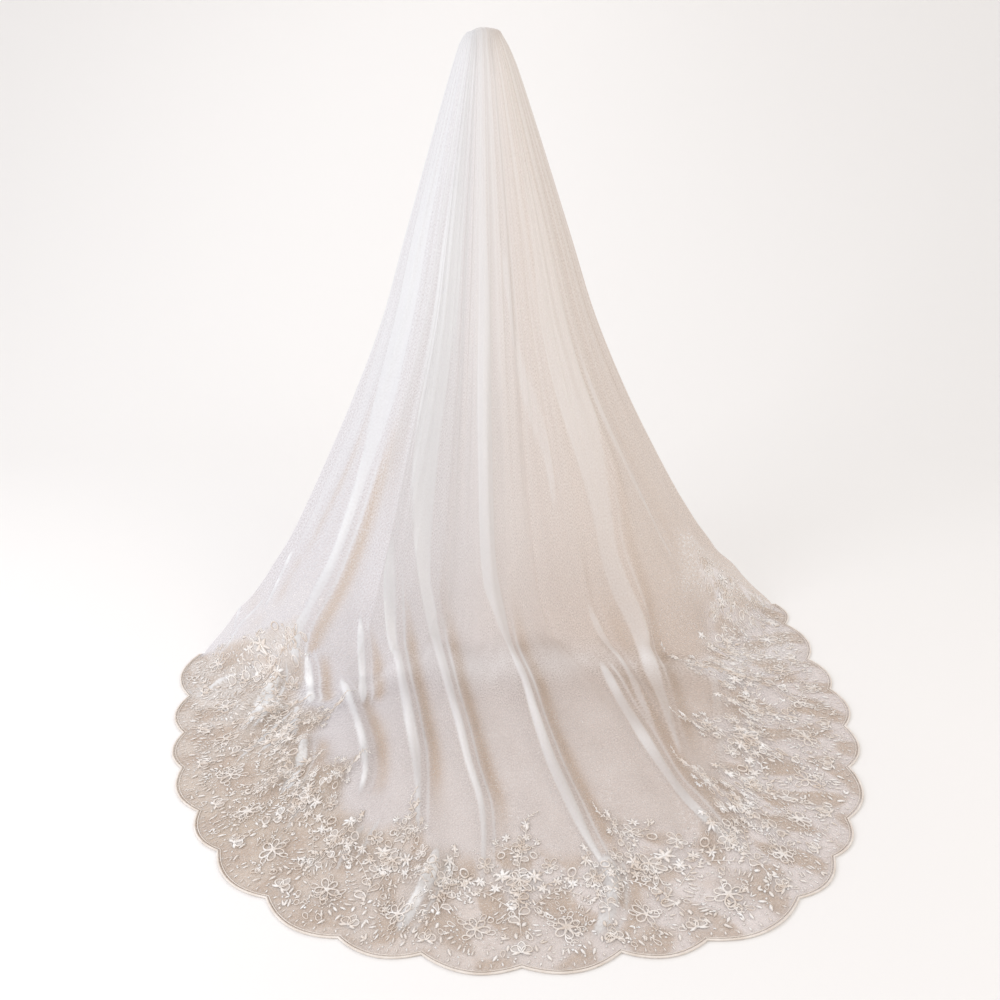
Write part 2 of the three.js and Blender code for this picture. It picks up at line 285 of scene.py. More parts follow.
class Ribs:
    """The ribs at a list of places q on the hem, each measured along its own length."""

    def __init__(self, q):
        self.q = np.asarray(q, float)
        self.hem = hem_point(self.q)
        self.full = np.linalg.norm(self.hem, axis=1)
        self.turn = np.tan(hem_skew(self.q))
        corner = np.where(self.q < SCALLOPS / 2, np.linalg.norm(CUSPS[0]),
                          np.linalg.norm(CUSPS[-1]))
        share = smooth(self.q / LEFT_FLARE) * smooth((SCALLOPS - self.q) / RIGHT_FLARE)
        rows = [(np.full_like(self.q, reach), height) for height, reach in CROWN]
        for height, flare, middle in FALL:
            rows.append(((1 - share) * flare * corner + share * middle, height))
        self.foot = rows[-1][0]
        landed = self.foot + np.minimum(LANDING, (self.full - self.foot) / 2)
        for step in range(FLOOR_STEPS + 1):
            rows.append((landed + (self.full - landed) * step / FLOOR_STEPS, CLOTH_FLOOR))
        points = np.stack([np.stack([r, np.full_like(self.q, h)], -1) for r, h in rows])
        t = np.linspace(0, len(rows) - 1, (len(rows) - 1) * RIB_SAMPLES + 1)
        self.line = spline(points, t)
        steps = np.linalg.norm(np.diff(self.line, axis=0), axis=2)
        self.arc = np.concatenate([np.zeros((1, len(self.q))), np.cumsum(steps, axis=0)])
        self.length = self.arc[-1]

    def profile(self, along):
        """Reach and height, and how each of them changes, at along[rib, row] metres."""
        parts = [np.empty_like(along) for _ in range(4)]
        for i in range(len(self.q)):
            arc, line = self.arc[:, i], self.line[:, i]
            way = np.gradient(line, arc + 1e-9 * np.arange(len(arc)), axis=0)
            at = np.clip(along[i], 0, arc[-1])
            for part, values in zip(parts, (*line.T, *way.T)):
                part[i] = np.interp(at, arc, values)
        return parts

    def rest(self, along):
        """Resting points, the way they face and their reach, at along[rib, row] metres."""
        reach, height, slope_r, slope_h = self.profile(along)
        full = self.full[:, None]
        left = np.clip((full - reach) / full, 0, 1)
        eased = np.where(left < TURN_SHARE, left * (1 - left / (2 * TURN_SHARE)), TURN_SHARE / 2)
        angle = bearing(self.hem)[:, None] - eased * self.turn[:, None]
        spread = np.stack([np.sin(angle), -np.cos(angle)], -1)
        comb_x = (self.q / SCALLOPS - 0.5) * COMB_WIDTH
        comb_y = comb_x ** 2 / (2 * COMB_BEND) - COMB_THICKNESS / 2 - SEAM_GAP - TULLE_WALL / 2
        comb = np.stack([comb_x, comb_y], -1)[:, None, :]
        blend = COMB_BLEND * (1 + COMB_BLEND_MORE * smooth(2 * self.q / SCALLOPS - 1))
        off = smooth(reach / blend[:, None])[..., None]
        plan = comb * (1 - off) + spread * reach[..., None] * off
        side = (2 * self.q / SCALLOPS - 1)[:, None]
        drop = np.where(side < 0, CROWN_DROP[0], CROWN_DROP[1]) * np.abs(side) ** CROWN_POWER
        height = height - drop * np.exp(-((reach - CROWN_REACH) / CROWN_HALF) ** 2)
        height = np.maximum(height, CLOTH_FLOOR)
        facing = np.concatenate([-slope_h[..., None] * spread, slope_r[..., None]], -1)
        facing /= np.linalg.norm(facing, axis=-1, keepdims=True) + 1e-9
        aside = np.stack([-spread[..., 1], spread[..., 0], np.zeros_like(reach)], -1)
        return np.concatenate([plan, height[..., None]], -1), facing, reach, aside


probe = Ribs([0, SCALLOPS / 2, SCALLOPS])
print("rib lengths:", np.round(probe.length, 3))

# %% [markdown]
# Main folds are broad ridges. Each is a smooth line in plan through four places, so that it can
# run slantwise over the train as the real folds do. Each is steeper on its right side, where
# the cloth rolls over.

# %% The main folds
FOLDS = [
    # half width, rise, upper end, bend where it lands, on the floor, lower end, in millimetres
    (60, 34, (-210, -232), (-388, -486), (-480, -600), (-505, -690)),
    (44, 40, (-160, -240), (-258, -500), (-192, -872), (-127, -1330)),
    (46, 46, (-112, -242), (-180, -450), (-70, -900), (20, -1500)),
    (42, 44, (0, -230), (18, -382), (118, -830), (248, -1442)),
    (42, 40, (127, -190), (266, -423), (415, -800), (560, -1420)),
    (48, 42, (171, -213), (376, -386), (470, -640), (482, -1110)),
    (46, 26, (283, -232), (412, -345), (565, -457), (640, -560)),
    (40, 20, (355, -239), (518, -270), (660, -330), (740, -400)),
    (38, 30, (-377, -640), (-345, -780), (-285, -1000), (-262, -1200)),
    (36, 20, (-470, -760), (-430, -900), (-370, -1060), (-330, -1250)),
    (38, 22, (300, -700), (330, -980), (370, -1200), (420, -1450)),
    (44, 18, (620, -620), (650, -820), (670, -1000), (700, -1180)),
    # rumples of the lace, only here
    (24, 30, (-490, -640), (-545, -720), (-590, -810), (-640, -930)),
    (22, 24, (-500, -800), (-540, -890), (-580, -970), (-610, -1060)),
    (24, 22, (-560, -600), (-630, -640), (-690, -690), (-760, -760)),
    (22, 24, (-400, -960), (-430, -1040), (-455, -1130), (-480, -1220)),
    (22, 20, (-60, -1340), (-90, -1430), (-125, -1520), (-170, -1620)),
    (24, 22, (560, -650), (660, -685), (740, -770), (820, -850)),
    (22, 18, (590, -960), (690, -985), (780, -970), (870, -930)),
]
LINE_STEPS = 14
FOLD_FULL_REACH = 0.480
FOLD_LEAN = 0.5
FOLD_SHARE = 0.62
FOLD_LEAST = 0.2
FOLD_ENDS = 0.3


def beside_line(plan, places):
    """How far each point lies to the right of a line in plan, and how far along it."""
    spans = len(places) - 1
    line = spline(places, np.linspace(0, spans, spans * LINE_STEPS + 1))
    best = np.full(plan.shape[:-1], 9.0)
    along = np.zeros(best.shape)
    side = np.zeros(best.shape)
    for step, spot in enumerate(line[:-1]):
        run = line[step + 1] - spot
        away = plan - spot
        forth = np.clip((away @ run) / (run @ run), 0, 1)
        gap = np.hypot(away[..., 0] - forth * run[0], away[..., 1] - forth * run[1])
        near = gap < best
        best = np.where(near, gap, best)
        along = np.where(near, (step + forth) / (spans * LINE_STEPS), along)
        side = np.where(near, np.sign(run[0] * away[..., 1] - run[1] * away[..., 0]), side)
    return best * side, along


def fold_height(plan, reach):
    height = np.zeros(reach.shape)
    for width, rise, *places in FOLDS:
        gap, along = beside_line(plan, np.array(places) / 1000)
        steep = np.where(gap > 0, 1 - FOLD_LEAN / 2, 1 + FOLD_LEAN / 2)
        half = width / 1000 * np.clip(reach / FOLD_FULL_REACH, FOLD_LEAST, 1) * steep
        ends = smooth(along / FOLD_ENDS) * smooth((1 - along) / FOLD_ENDS)
        height += FOLD_SHARE * (rise / 1000) * ends * np.exp(-(gap / half) ** 2)
    return height


print("main folds:", len(FOLDS))

# %% [markdown]
# On each fold stands a crease: a narrow band where the net lies double. It starts as a flat
# pleat in the fall and narrows to a crisp rounded ridge on the floor, with a thin line beside
# it where the upper layer ends, and beyond that a tan strip of painted shade beside the ridge.
# A strength above one also paints a highlight on the net, where a ridge catches the window's
# light.

# %% Where the creases run
CREASES = [
    # half width in the fall and on the floor, strength, places in plan, in millimetres
    (12, 12, 0.45, (-243, -182), (-317, -283), (-380, -339), (-468, -394), (-548, -459)),
    (30, 12, 1.12, (-100, -120), (-174, -200), (-227, -272), (-297, -389), (-401, -521),
     (-486, -624), (-500, -676), (-490, -700)),
    (10, 12.5, 1.25, (-234, -478), (-247, -540), (-236, -622), (-182, -908), (-145, -1118),
     (-123, -1365)),
    (19, 12.5, 1.25, (-45, -110), (-75, -191), (-112, -264), (-151, -356), (-166, -437),
     (-139, -500), (-81, -817), (-29, -1088), (9, -1273), (12, -1518)),
    (17, 12.5, 1.25, (0, -100), (0, -175), (3, -234), (7, -299), (15, -377), (52, -460),
     (107, -710), (139, -952), (181, -1159), (223, -1315), (257, -1429), (278, -1554)),
    (8, 8, 0.8, (279, -434), (376, -600), (406, -825), (433, -1007)),
    (10, 13, 1.15, (321, -627), (367, -863), (432, -1126), (534, -1385)),
    (30, 18, 0.9, (100, -110), (160, -170), (207, -226), (289, -311), (353, -422), (438, -540),
     (457, -715), (467, -964), (473, -1089)),
    (6, 6, 0.75, (57, -173), (86, -219), (170, -292), (202, -347)),
    (6, 6, 1.0, (264, -216), (369, -294), (487, -344), (570, -402)),
    (9, 9, 1.3, (-338, -600), (-322, -720), (-304, -850)),
    (10, 9, 1.3, (-382, -711), (-337, -842), (-291, -984), (-265, -1116), (-271, -1219)),
    (12, 12, 1.4, (-81, -1380), (-103, -1500), (-150, -1610)),
    (14, 14, 1.2, (262, -1380), (268, -1480), (250, -1560), (210, -1625)),
    (15, 15, 1.5, (-544, -670), (-560, -790), (-572, -880), (-590, -960)),
    (10, 10, 1.5, (-475, -670), (-455, -760), (-440, -840)),
    (6, 6, 1.15, (-475, -840), (-465, -910), (-452, -990)),
    (4, 4, 1.3, (-480, -849), (-510, -930), (-548, -1015), (-575, -1075)),
    (5, 5, 1.15, (-462, -895), (-495, -965), (-531, -1047)),
    (5, 5, 1.4, (-660, -690), (-705, -725), (-746, -800)),
    (10, 10, 1.45, (-432, -960), (-420, -1060), (-425, -1130), (-448, -1200)),
    (5, 5, 0.7, (-390, -1215), (-400, -1270), (-410, -1330)),
    (4, 4, 1.15, (-688, -453), (-693, -504), (-698, -555)),
    (4, 4, 1.15, (-621, -504), (-677, -544), (-725, -603)),
    (5, 5, 1.2, (-541, -431), (-581, -486), (-620, -533)),
    (11, 11, 0.6, (625, -685), (596, -894), (555, -1158)),
    (6, 6, 0.6, (592, -689), (688, -690), (728, -759), (767, -829), (830, -858)),
    (6, 6, 0.6, (617, -990), (748, -981), (857, -936)),
    (5, 5, 0.8, (-209, -1263), (-229, -1337), (-245, -1414)),
    (5, 5, 0.8, (-244, -1291), (-266, -1372), (-287, -1451)),
]
print("creases:", len(CREASES))

# %% [markdown]
# A crease could be folded for real, with three layers of cloth. Here it is a low rise and a
# mark on the cloth for the material, which gives the same look without cloth inside cloth.

# %% The shape of a crease
CREASE_FALL = 0.38
CREASE_FLOOR = 0.56
CREASE_EDGE = 0.004
CREASE_EDGE_FLOOR = 0.006
CREASE_THIN = 0.30
CREASE_THIN_START = 0.20
CREASE_THIN_END = 0.30
CREASE_WANDER = 0.14
CREASE_START = 0.12
CREASE_END = 0.18
CREASE_TAIL = 0.10
CREASE_SLOPE = 0.55
CREASE_RISE = 0.009
FOLDED_EDGE = 0.0028
# above one, the folded edge also gets a painted highlight
FOLDED_WHITE = 1.3
LAYER_LINE = 0.016
LAYER_HALF = 0.0038
LAYER_WHITE = 0.8
LAYER_FROM = 0.006
LAYER_SPAN = 0.0065
# where the tan strip of painted shade lies beside a crease, how wide it is and how it fades
SHADE_GAP = 0.034
SHADE_HALF = 0.017
SHADE_FULL = 0.009
SHADE_START = 0.3
SHADE_END = 0.16
SHADE_IN_FALL = 0.10
PAINTED_LIGHT_IN_FALL = 0.15


def crease_ends(along, length, strength, number):
    """How strong a crease is along its length. A long one stays crisp until near its end."""
    end = min(CREASE_END, CREASE_TAIL / length)
    ends = smooth(along / CREASE_START) * smooth((1 - along) / end) * strength
    return ends * (0.9 + 0.1 * np.sin(2 * np.pi * (3.1 * along + 0.61 * number)))


def crease_band(gap, half, lower, lying):
    """How double the net is: the band, its folded edge in the fall, its layer on the floor."""
    soft = CREASE_EDGE + (CREASE_EDGE_FLOOR - CREASE_EDGE) * lying
    band = 1 - smooth((np.abs(gap) - half) / soft + 0.5)
    edge = FOLDED_WHITE * np.exp(-((gap + half) / FOLDED_EDGE) ** 2) * (1 - lying)
    line = np.exp(-((gap - half - LAYER_LINE) / LAYER_HALF) ** 2) * lying
    line = line * np.clip((lower - LAYER_FROM) / LAYER_SPAN, 0, 1)
    return np.maximum(band, np.maximum(edge, LAYER_WHITE * line))


def creases(plan, reach):
    """The creases' rise, how double the net is, their painted highlight and painted shade."""
    rise, double, opened = (np.zeros(reach.shape) for _ in range(3))
    lying = smooth((reach - CREASE_FALL) / (CREASE_FLOOR - CREASE_FALL))
    for number, (upper, lower, strength, *places) in enumerate(CREASES):
        upper, lower, places = upper / 1000, lower / 1000, np.array(places) / 1000
        gap, along = beside_line(plan, places)
        taper = smooth(along / CREASE_THIN_START) * smooth((1 - along) / CREASE_THIN_END)
        wander = 1 + CREASE_WANDER * np.sin(2 * np.pi * (2.3 * along + 0.37 * number))
        half = (upper + (lower - upper) * lying) * (CREASE_THIN + (1 - CREASE_THIN) * taper)
        half = half * wander
        length = np.hypot(*np.diff(places, axis=0).T).sum()
        ends = crease_ends(along, length, strength, number)
        double = np.maximum(double, ends * crease_band(gap, half, lower, lying))
        # painted shade: a tan strip just beside the crease, where the ridge would shade the cloth
        inside = np.exp(-((gap - half - SHADE_GAP) / SHADE_HALF) ** 2)
        inside = inside * np.clip(half / SHADE_FULL, 0, 1) ** 2
        open_ends = smooth(along / SHADE_START) * smooth((1 - along) / SHADE_END)
        open_ends = open_ends * min(strength, 1)
        shown = SHADE_IN_FALL + (1 - SHADE_IN_FALL) * lying
        opened = np.maximum(opened, open_ends * inside * shown)
        top = np.minimum(CREASE_SLOPE * half, CREASE_RISE) * (0.4 + 0.6 * lying)
        rise = np.maximum(rise, np.minimum(ends, 1) * top * np.exp(-(gap / (1.2 * half)) ** 2))
    # painted highlight where a crease's strength passes one, weaker in the fall
    bright = np.clip((double - 1) / 0.5, 0, 1) * (PAINTED_LIGHT_IN_FALL + (1 - PAINTED_LIGHT_IN_FALL) * lying)
    double = np.minimum(double, 1)
    return rise, double, bright, opened * (1 - double)


print("a crease ends within", CREASE_TAIL, "m")

# %% [markdown]
# The gathers are many narrow pleats that open out on the way down. Real ones are uneven and
# lean over each other, which is why net looks white where it is gathered: several layers lie
# one behind another. So each wave moves the cloth sideways as well as out, into an S. The
# pleats are spaced evenly round the fall, and not along the hem, which fans out.

# %% The gathers
GATHERS = [
    # pleats, depth as a share of their width, sideways share, full above, gone below, phase
    (25, 0.070, 0.050, -0.75, -1.50, 0.9),
    (51, 0.050, 0.030, -0.25, -1.05, 1.3),
    (11, 0.050, 0.020, -1.00, -1.60, 2.2),
]
GATHER_LIMIT = 0.011
GATHER_START = 0.04
EVEN_PLACES = np.linspace(0, SCALLOPS, 401)
EVEN_DOWN = 1.0


def uneven(share, speed, phase):
    """A slow wander between 0 and 1 that makes one gather unlike the next."""
    return 0.5 + 0.5 * np.sin(2 * np.pi * speed * share + phase
                              + 1.7 * np.sin(2 * np.pi * speed * 0.37 * share + 2 * phase))


def even_share(q):
    """How far round the fall each rib lies, so that the pleats are evenly spaced there."""
    ring, *_ = Ribs(EVEN_PLACES).rest(np.full((len(EVEN_PLACES), 1), EVEN_DOWN))
    steps = np.linalg.norm(np.diff(ring[:, 0], axis=0), axis=1)
    run = np.concatenate([[0], np.cumsum(steps)])
    return np.interp(q, EVEN_PLACES, run / run[-1])


def gather_moves(share, along, height, width):
    """How far the gathers move the cloth out and sideways, for a sheet of this width."""
    out = np.zeros_like(along)
    aside = np.zeros_like(along)
    start = smooth(along / GATHER_START)
    for pleats, depth, lean, full, gone, phase in GATHERS:
        turn = 2 * np.pi * pleats * (share + 0.010 * np.sin(2 * np.pi * 2.7 * share + phase)
                                     + 0.005 * np.sin(2 * np.pi * 6.1 * share + 3 * phase))
        turn = turn + 0.8 * np.sin(2 * np.pi * along / 1.7 + 6 * share)
        fade = smooth((height - gone) / (full - gone)) * start
        strength = (0.45 + 0.55 * uneven(share, pleats * 0.31, phase)) * fade
        pitch = np.minimum(width / pleats, GATHER_LIMIT / depth)
        out += pitch * depth * strength * np.cos(turn)
        aside += pitch * lean * strength * np.sin(2 * turn)
    return out, aside


print("pleats round the fall:", [row[0] for row in GATHERS])

# %% [markdown]
# Cloth on a floor is never quite flat. Low waves of many sizes run mostly along the train. They
# are added up from random ones with a fixed seed, so that each run gives the same cloth.

# %% The small waves
WAVE_SEED = 11
FLOOR_WAVES = 22
FLOOR_WAVE_HEIGHT = 0.0034
FLOOR_WAVE_WAY = (-0.15, 0.34)
FLOOR_WAVE_SIZE = (0.055, 0.21)
FLOOR_EASE = 0.004


def floor_waves(plan):
    """Low soft waves of the cloth on the floor, most of them running along the train."""
    draw = np.random.default_rng(WAVE_SEED)
    total = np.zeros(plan.shape[:-1])
    for _ in range(FLOOR_WAVES):
        way = draw.normal(*FLOOR_WAVE_WAY)
        size = draw.uniform(*FLOOR_WAVE_SIZE)
        phase = draw.uniform(0, 2 * np.pi)
        run = plan[..., 0] * math.cos(way) - plan[..., 1] * math.sin(way)
        total += np.sin(2 * np.pi * run / size + phase) * size / FLOOR_WAVE_SIZE[1]
    return total * (FLOOR_WAVE_HEIGHT / math.sqrt(FLOOR_WAVES / 4))


def soft_floor(height):
    """Keeps the cloth above the floor without a crease where it meets it."""
    low = FLOOR_EASE * np.exp(np.minimum(height, FLOOR_EASE) / FLOOR_EASE - 1)
    return np.where(height > FLOOR_EASE, height, low)


print("small waves:", FLOOR_WAVES)

# %% [markdown]
# Now all of it is put together for any place on the cloth. The folds, waves and creases ease
# off towards the hem, which lies flat. Net is whiter where its cut width is drawn together and
# where a crease doubles it. A band of painted light, whiter and denser net, follows the foot of
# the fall, over the shade that the fall casts on the cloth where it lands.

# %% The whole cloth
CUT_WIDTH = 2.75
GATHER_POWER = 1.6
STREAKS = 0.28
WAVES_TOP = -1.25
WAVES_SPAN = 0.30
NEAR_HEM = 0.16
HEM_EASE = 0.05
DOUBLE_WHITE = 0.92
# painted light just past the foot of the fall, over the shade that the fall casts there
PAINTED_LANDING_WHITE = 0.30
PAINTED_LANDING_LIGHT = 0.60
PAINTED_LANDING_PAST = 0.15
PAINTED_LANDING_HALF = 0.12


def cloth(ribs, along):
    """Points of the cloth at along[rib, row], how gathered, and its painted shade and light."""
    point, facing, reach, aside = ribs.rest(along)
    plan = point[..., :2]
    width = np.linalg.norm(np.diff(point, axis=0), axis=-1).sum(0)[None, :] * np.ones_like(reach)
    share = even_share(ribs.q)[:, None] * np.ones_like(along)
    out, sideways = gather_moves(share, along, point[..., 2], width)
    to_hem = ribs.length[:, None] - along
    near_hem = smooth(to_hem / NEAR_HEM)
    crease_end = smooth(to_hem / HEM_EASE)
    lying = smooth((WAVES_TOP - point[..., 2]) / WAVES_SPAN)
    wave = floor_waves(plan) * lying * (0.25 + 0.75 * near_hem)
    rise, double, bright, opened = creases(plan, reach)
    out = out + fold_height(plan, reach) * near_hem + wave + rise * crease_end
    moved = point + facing * out[..., None] + aside * sideways[..., None]
    moved[..., 2] = CLOTH_FLOOR + soft_floor(moved[..., 2] - CLOTH_FLOOR)
    gathered = np.clip(1 - width / CUT_WIDTH, 0, 1) ** GATHER_POWER
    streaks = 1 + STREAKS * (uneven(share, 21, 0.4) + uneven(share, 47, 2.0) - 1)
    # painted light where the fall shades the cloth as it lands
    painted_landing_band = np.exp(-((reach - ribs.foot[:, None] - PAINTED_LANDING_PAST) / PAINTED_LANDING_HALF) ** 2)
    gathered = np.clip(gathered * streaks + PAINTED_LANDING_WHITE * painted_landing_band, 0, 1)
    gathered = 1 - (1 - gathered) * (1 - DOUBLE_WHITE * double * crease_end)
    bright = np.maximum(bright, PAINTED_LANDING_LIGHT * painted_landing_band)
    return moved, gathered, opened * crease_end, bright * crease_end


print("the net is cut", CUT_WIDTH, "m wide")

# %% [markdown]
# The lace border is about 0.3 m deep, and its inner edge points inwards at each spray of
# blossom. It closes against the side edges of the veil at the two back corners.

# %% The inner edge of the lace
LACE_DEPTH = 0.300
SPRAY_RISE = 0.090
SCALLOPS_PER_SPRAY = 2
CORNER_DEPTH = 0.014
CORNER_SPAN = 1.1
SPRAY_POWER = 1.6


def lace_depth(q):
    """How deep the lace is at a place along the hem, counted in scallops."""
    phase = np.abs((q / SCALLOPS_PER_SPRAY) % 1 * 2 - 1)
    spray = np.clip(1 - phase, 0, 1) ** SPRAY_POWER
    corner = np.clip(np.minimum(q, SCALLOPS - q) / CORNER_SPAN, 0, 1)
    full = LACE_DEPTH + SPRAY_RISE * spray
    return CORNER_DEPTH + (full - CORNER_DEPTH) * np.sin(np.pi / 2 * corner)


print("lace depth at a spray:", round(float(lace_depth(SCALLOPS / 2)), 3), "m")

# %% [markdown]
# The net sheet is a grid laid on that shape. Its UV map holds metres of cloth, along the hem
# and down from the comb, so that a weave keeps its real size. Four marks are kept on each
# point for the material: how gathered the net is, where shade is painted, where light is
# painted, and how much lace is on it. Gathered net hides more of what is behind it.

# %% The net sheet
NET_COLUMNS = 740
NET_ROWS = 134
FALL_LENGTH = 1.45
FALL_ROWS = 0.30
LANDING_LENGTH = 0.21
LANDING_ROWS = 0.13
CLOSE_AT_CROWN = 1.35


def sheet_mesh(name, points, uv, **marks):
    """A grid of points as one sheet, facing out, with a UV map in metres of cloth."""
    columns, rows = points.shape[:2]
    corner = (np.arange(columns - 1)[:, None] * rows + np.arange(rows - 1)[None, :]).ravel()
    faces = np.stack([corner, corner + 1, corner + rows + 1, corner + rows], -1)
    piece = mesh_object(name, points.reshape(-1, 3), faces)
    layer = piece.data.uv_layers.new(name="cloth")
    flat = uv.reshape(-1, 2)[faces.ravel()]
    layer.data.foreach_set("uv", flat.astype(np.float32).ravel())
    for label, values in marks.items():
        store = piece.data.attributes.new(label, "FLOAT", "POINT")
        store.data.foreach_set("value", values.astype(np.float32).ravel())
    return piece


def net_rows(ends):
    """Places along each rib: close over the crown, wide in the fall, close on the floor."""
    share = np.linspace(0, 1, NET_ROWS)[None, :]
    fall = FALL_LENGTH * np.minimum(share / FALL_ROWS, 1) ** CLOSE_AT_CROWN
    turn = np.minimum(LANDING_LENGTH, 0.5 * (ends[:, None] - FALL_LENGTH))
    landing = turn * np.clip((share - FALL_ROWS) / LANDING_ROWS, 0, 1)
    rest = np.maximum(share - FALL_ROWS - LANDING_ROWS, 0) / (1 - FALL_ROWS - LANDING_ROWS)
    return fall + landing + rest * (ends[:, None] - FALL_LENGTH - turn)


q_net = np.linspace(0, SCALLOPS, NET_COLUMNS)
net_ribs = Ribs(q_net)
net_end = net_ribs.length - lace_depth(q_net) - SEAM_GAP
net_along = net_rows(net_end)
net_points, net_gathered, net_open, net_bright = cloth(net_ribs, net_along)
net_uv = np.stack([(q_net * SCALLOP_WIDTH)[:, None] * np.ones_like(net_along), net_along], -1)
tulle = sheet_mesh("tulle_net", net_points, net_uv, gathered=net_gathered, open=net_open,
                   bright=net_bright, laced=np.zeros_like(net_open))
print("net faces:", len(tulle.data.polygons))

# %% [markdown]
# Nodes are added with one short call each, which takes the node's settings by name and links or
# sets its inputs. The same call makes the materials here and the Geometry Nodes further down.

# %% Nodes in short


def add(tree, kind, inputs=None, **settings):
    """A node with its settings, and its inputs linked or set by socket name or number."""
    node = tree.nodes.new(kind)
    for key, value in settings.items():
        setattr(node, key, value)
    for key, value in (inputs or {}).items():
        socket = node.inputs[key]
        if isinstance(value, bpy.types.NodeSocket):
            tree.links.new(value, socket)
        else:
            socket.default_value = value
    return node


def math_node(tree, operation, first, second):
    return add(tree, "ShaderNodeMath", {0: first, 1: second}, operation=operation).outputs[0]


def mix_colours(tree, share, first, second):
    """A colour between two, each of them a code or a socket."""
    first, second = (linear(end) if isinstance(end, str) else end for end in (first, second))
    return add(tree, "ShaderNodeMix", {"Factor": share, "A": first, "B": second},
               data_type="RGBA").outputs["Result"]


def noise(tree, place, scale, detail, roughness=0.5):
    """Noise in patches of one over scale metres."""
    return add(tree, "ShaderNodeTexNoise", {"Vector": place, "Scale": scale, "Detail": detail,
                                            "Roughness": roughness}).outputs["Fac"]


def mark(tree, name):
    """One of the marks that are kept on the points of the cloth."""
    return add(tree, "ShaderNodeAttribute", attribute_name=name).outputs["Fac"]


def cloth_map(tree):
    return add(tree, "ShaderNodeUVMap", uv_map="cloth").outputs[0]


print("short calls for nodes:", [call.__name__ for call in (math_node, mix_colours, noise)])

# %% [markdown]
# Ivory net isn't one colour. A single layer is the net's own ivory with light painted into it:
# cool and pale at the left side edge, where the cool window light falls, warm champagne and
# darker at the right one, under the warm fill. Shade beside the creases is painted in tan,
# gathered net is whiter, painted highlights are pure white, and lace net has tints of its own.

# %% The net's colours
# tan of the painted shade beside the creases
PAINTED_SHADE_FILM = "bfa58d"
# pure white of the painted highlights
PAINTED_LIGHT_WHITE = "ffffff"
# the net's own ivory, with painted light towards the sides: cool and pale at the left, warm and
# darker at the right
FILM = ("d5d0d4", "dbd1cd", "cbb7a7")
WHITE_NET = ("e9eaec", "e4e2e1", "e2dbd5")
LACE_FILM = ("dcd0c6", "cbb7a2", "e6dcd8", "e6dddb")
TINT_PLACES = (0.08, 0.38, 0.88)
LACE_PLACES = (0.05, 0.24, 0.50, 0.88)


def across_cloth(tree, colours, places=TINT_PLACES):
    """A colour that changes along the hem, from the left side edge to the right one."""
    parts = add(tree, "ShaderNodeSeparateXYZ", {0: cloth_map(tree)})
    share = math_node(tree, "DIVIDE", parts.outputs["X"], HEM_LENGTH)
    ramp = add(tree, "ShaderNodeValToRGB", {0: share})
    for place in places[1:-1]:
        ramp.color_ramp.elements.new(place)
    for element, place, colour in zip(ramp.color_ramp.elements, places, colours):
        element.position = place
        element.color = linear(colour)
    return ramp.outputs["Color"]


def net_colour(tree, whiter, opened):
    """Film or lace film, tan for painted shade and bare lace, white for gathers and painted
    light.
    """
    film = mix_colours(tree, mark(tree, "laced"), across_cloth(tree, FILM),
                       across_cloth(tree, LACE_FILM, LACE_PLACES))
    # tan where shade is painted beside creases; on the lace also the bare net's own tan
    film_shade_and_bare = mix_colours(tree, mark(tree, "open"), film, opened)
    # pure white where light is painted
    white = mix_colours(tree, mark(tree, "bright"), across_cloth(tree, WHITE_NET), PAINTED_LIGHT_WHITE)
    return mix_colours(tree, whiter, film_shade_and_bare, white)


print("tints of the net, left to right:", FILM)

# %% [markdown]
# Net is mostly holes. Its threads are far finer than a pixel at this distance, so it is a soft
# film, partly see-through, that scatters light forwards as well as back. Each further layer
# covers the same share of what is left. Where a highlight is painted, the net sends more light
# back and lets less through.

# %% The net's material
NET_COVER = 0.56
NET_LAYERS = 3.0
NET_MOTTLE = 0.34
GRAIN_SCALE = 150.0
CLOUD_SCALE = 11.0
GRAIN = 4.2
GRAIN_CALM = 0.85
WHITE_MOTTLE = 1.5
THROUGH_SHARE = 0.42
PAINTED_LIGHT_THROUGH = -0.8


def net_swing(tree, gathered):
    """Fine grain and soft clouds in the net's density, calmer where it is gathered."""
    grain = math_node(tree, "SUBTRACT", noise(tree, cloth_map(tree), GRAIN_SCALE, 2.0), 0.5)
    cloud = math_node(tree, "SUBTRACT", noise(tree, cloth_map(tree), CLOUD_SCALE, 3.0), 0.5)
    both = math_node(tree, "ADD", math_node(tree, "MULTIPLY", grain, GRAIN), cloud)
    calm = math_node(tree, "MULTIPLY", gathered, GRAIN_CALM)
    return math_node(tree, "MULTIPLY", both, math_node(tree, "SUBTRACT", 1.0, calm))


def net_alpha(tree, gathered, swing, cover, layers):
    """How much the net hides: the more layers, the less is left to see through."""
    clear = math_node(tree, "SUBTRACT", 1.0, math_node(tree, "ADD", swing, cover))
    power = math_node(tree, "ADD", math_node(tree, "MULTIPLY", gathered, layers), 1.0)
    return math_node(tree, "SUBTRACT", 1.0, math_node(tree, "POWER", clear, power))


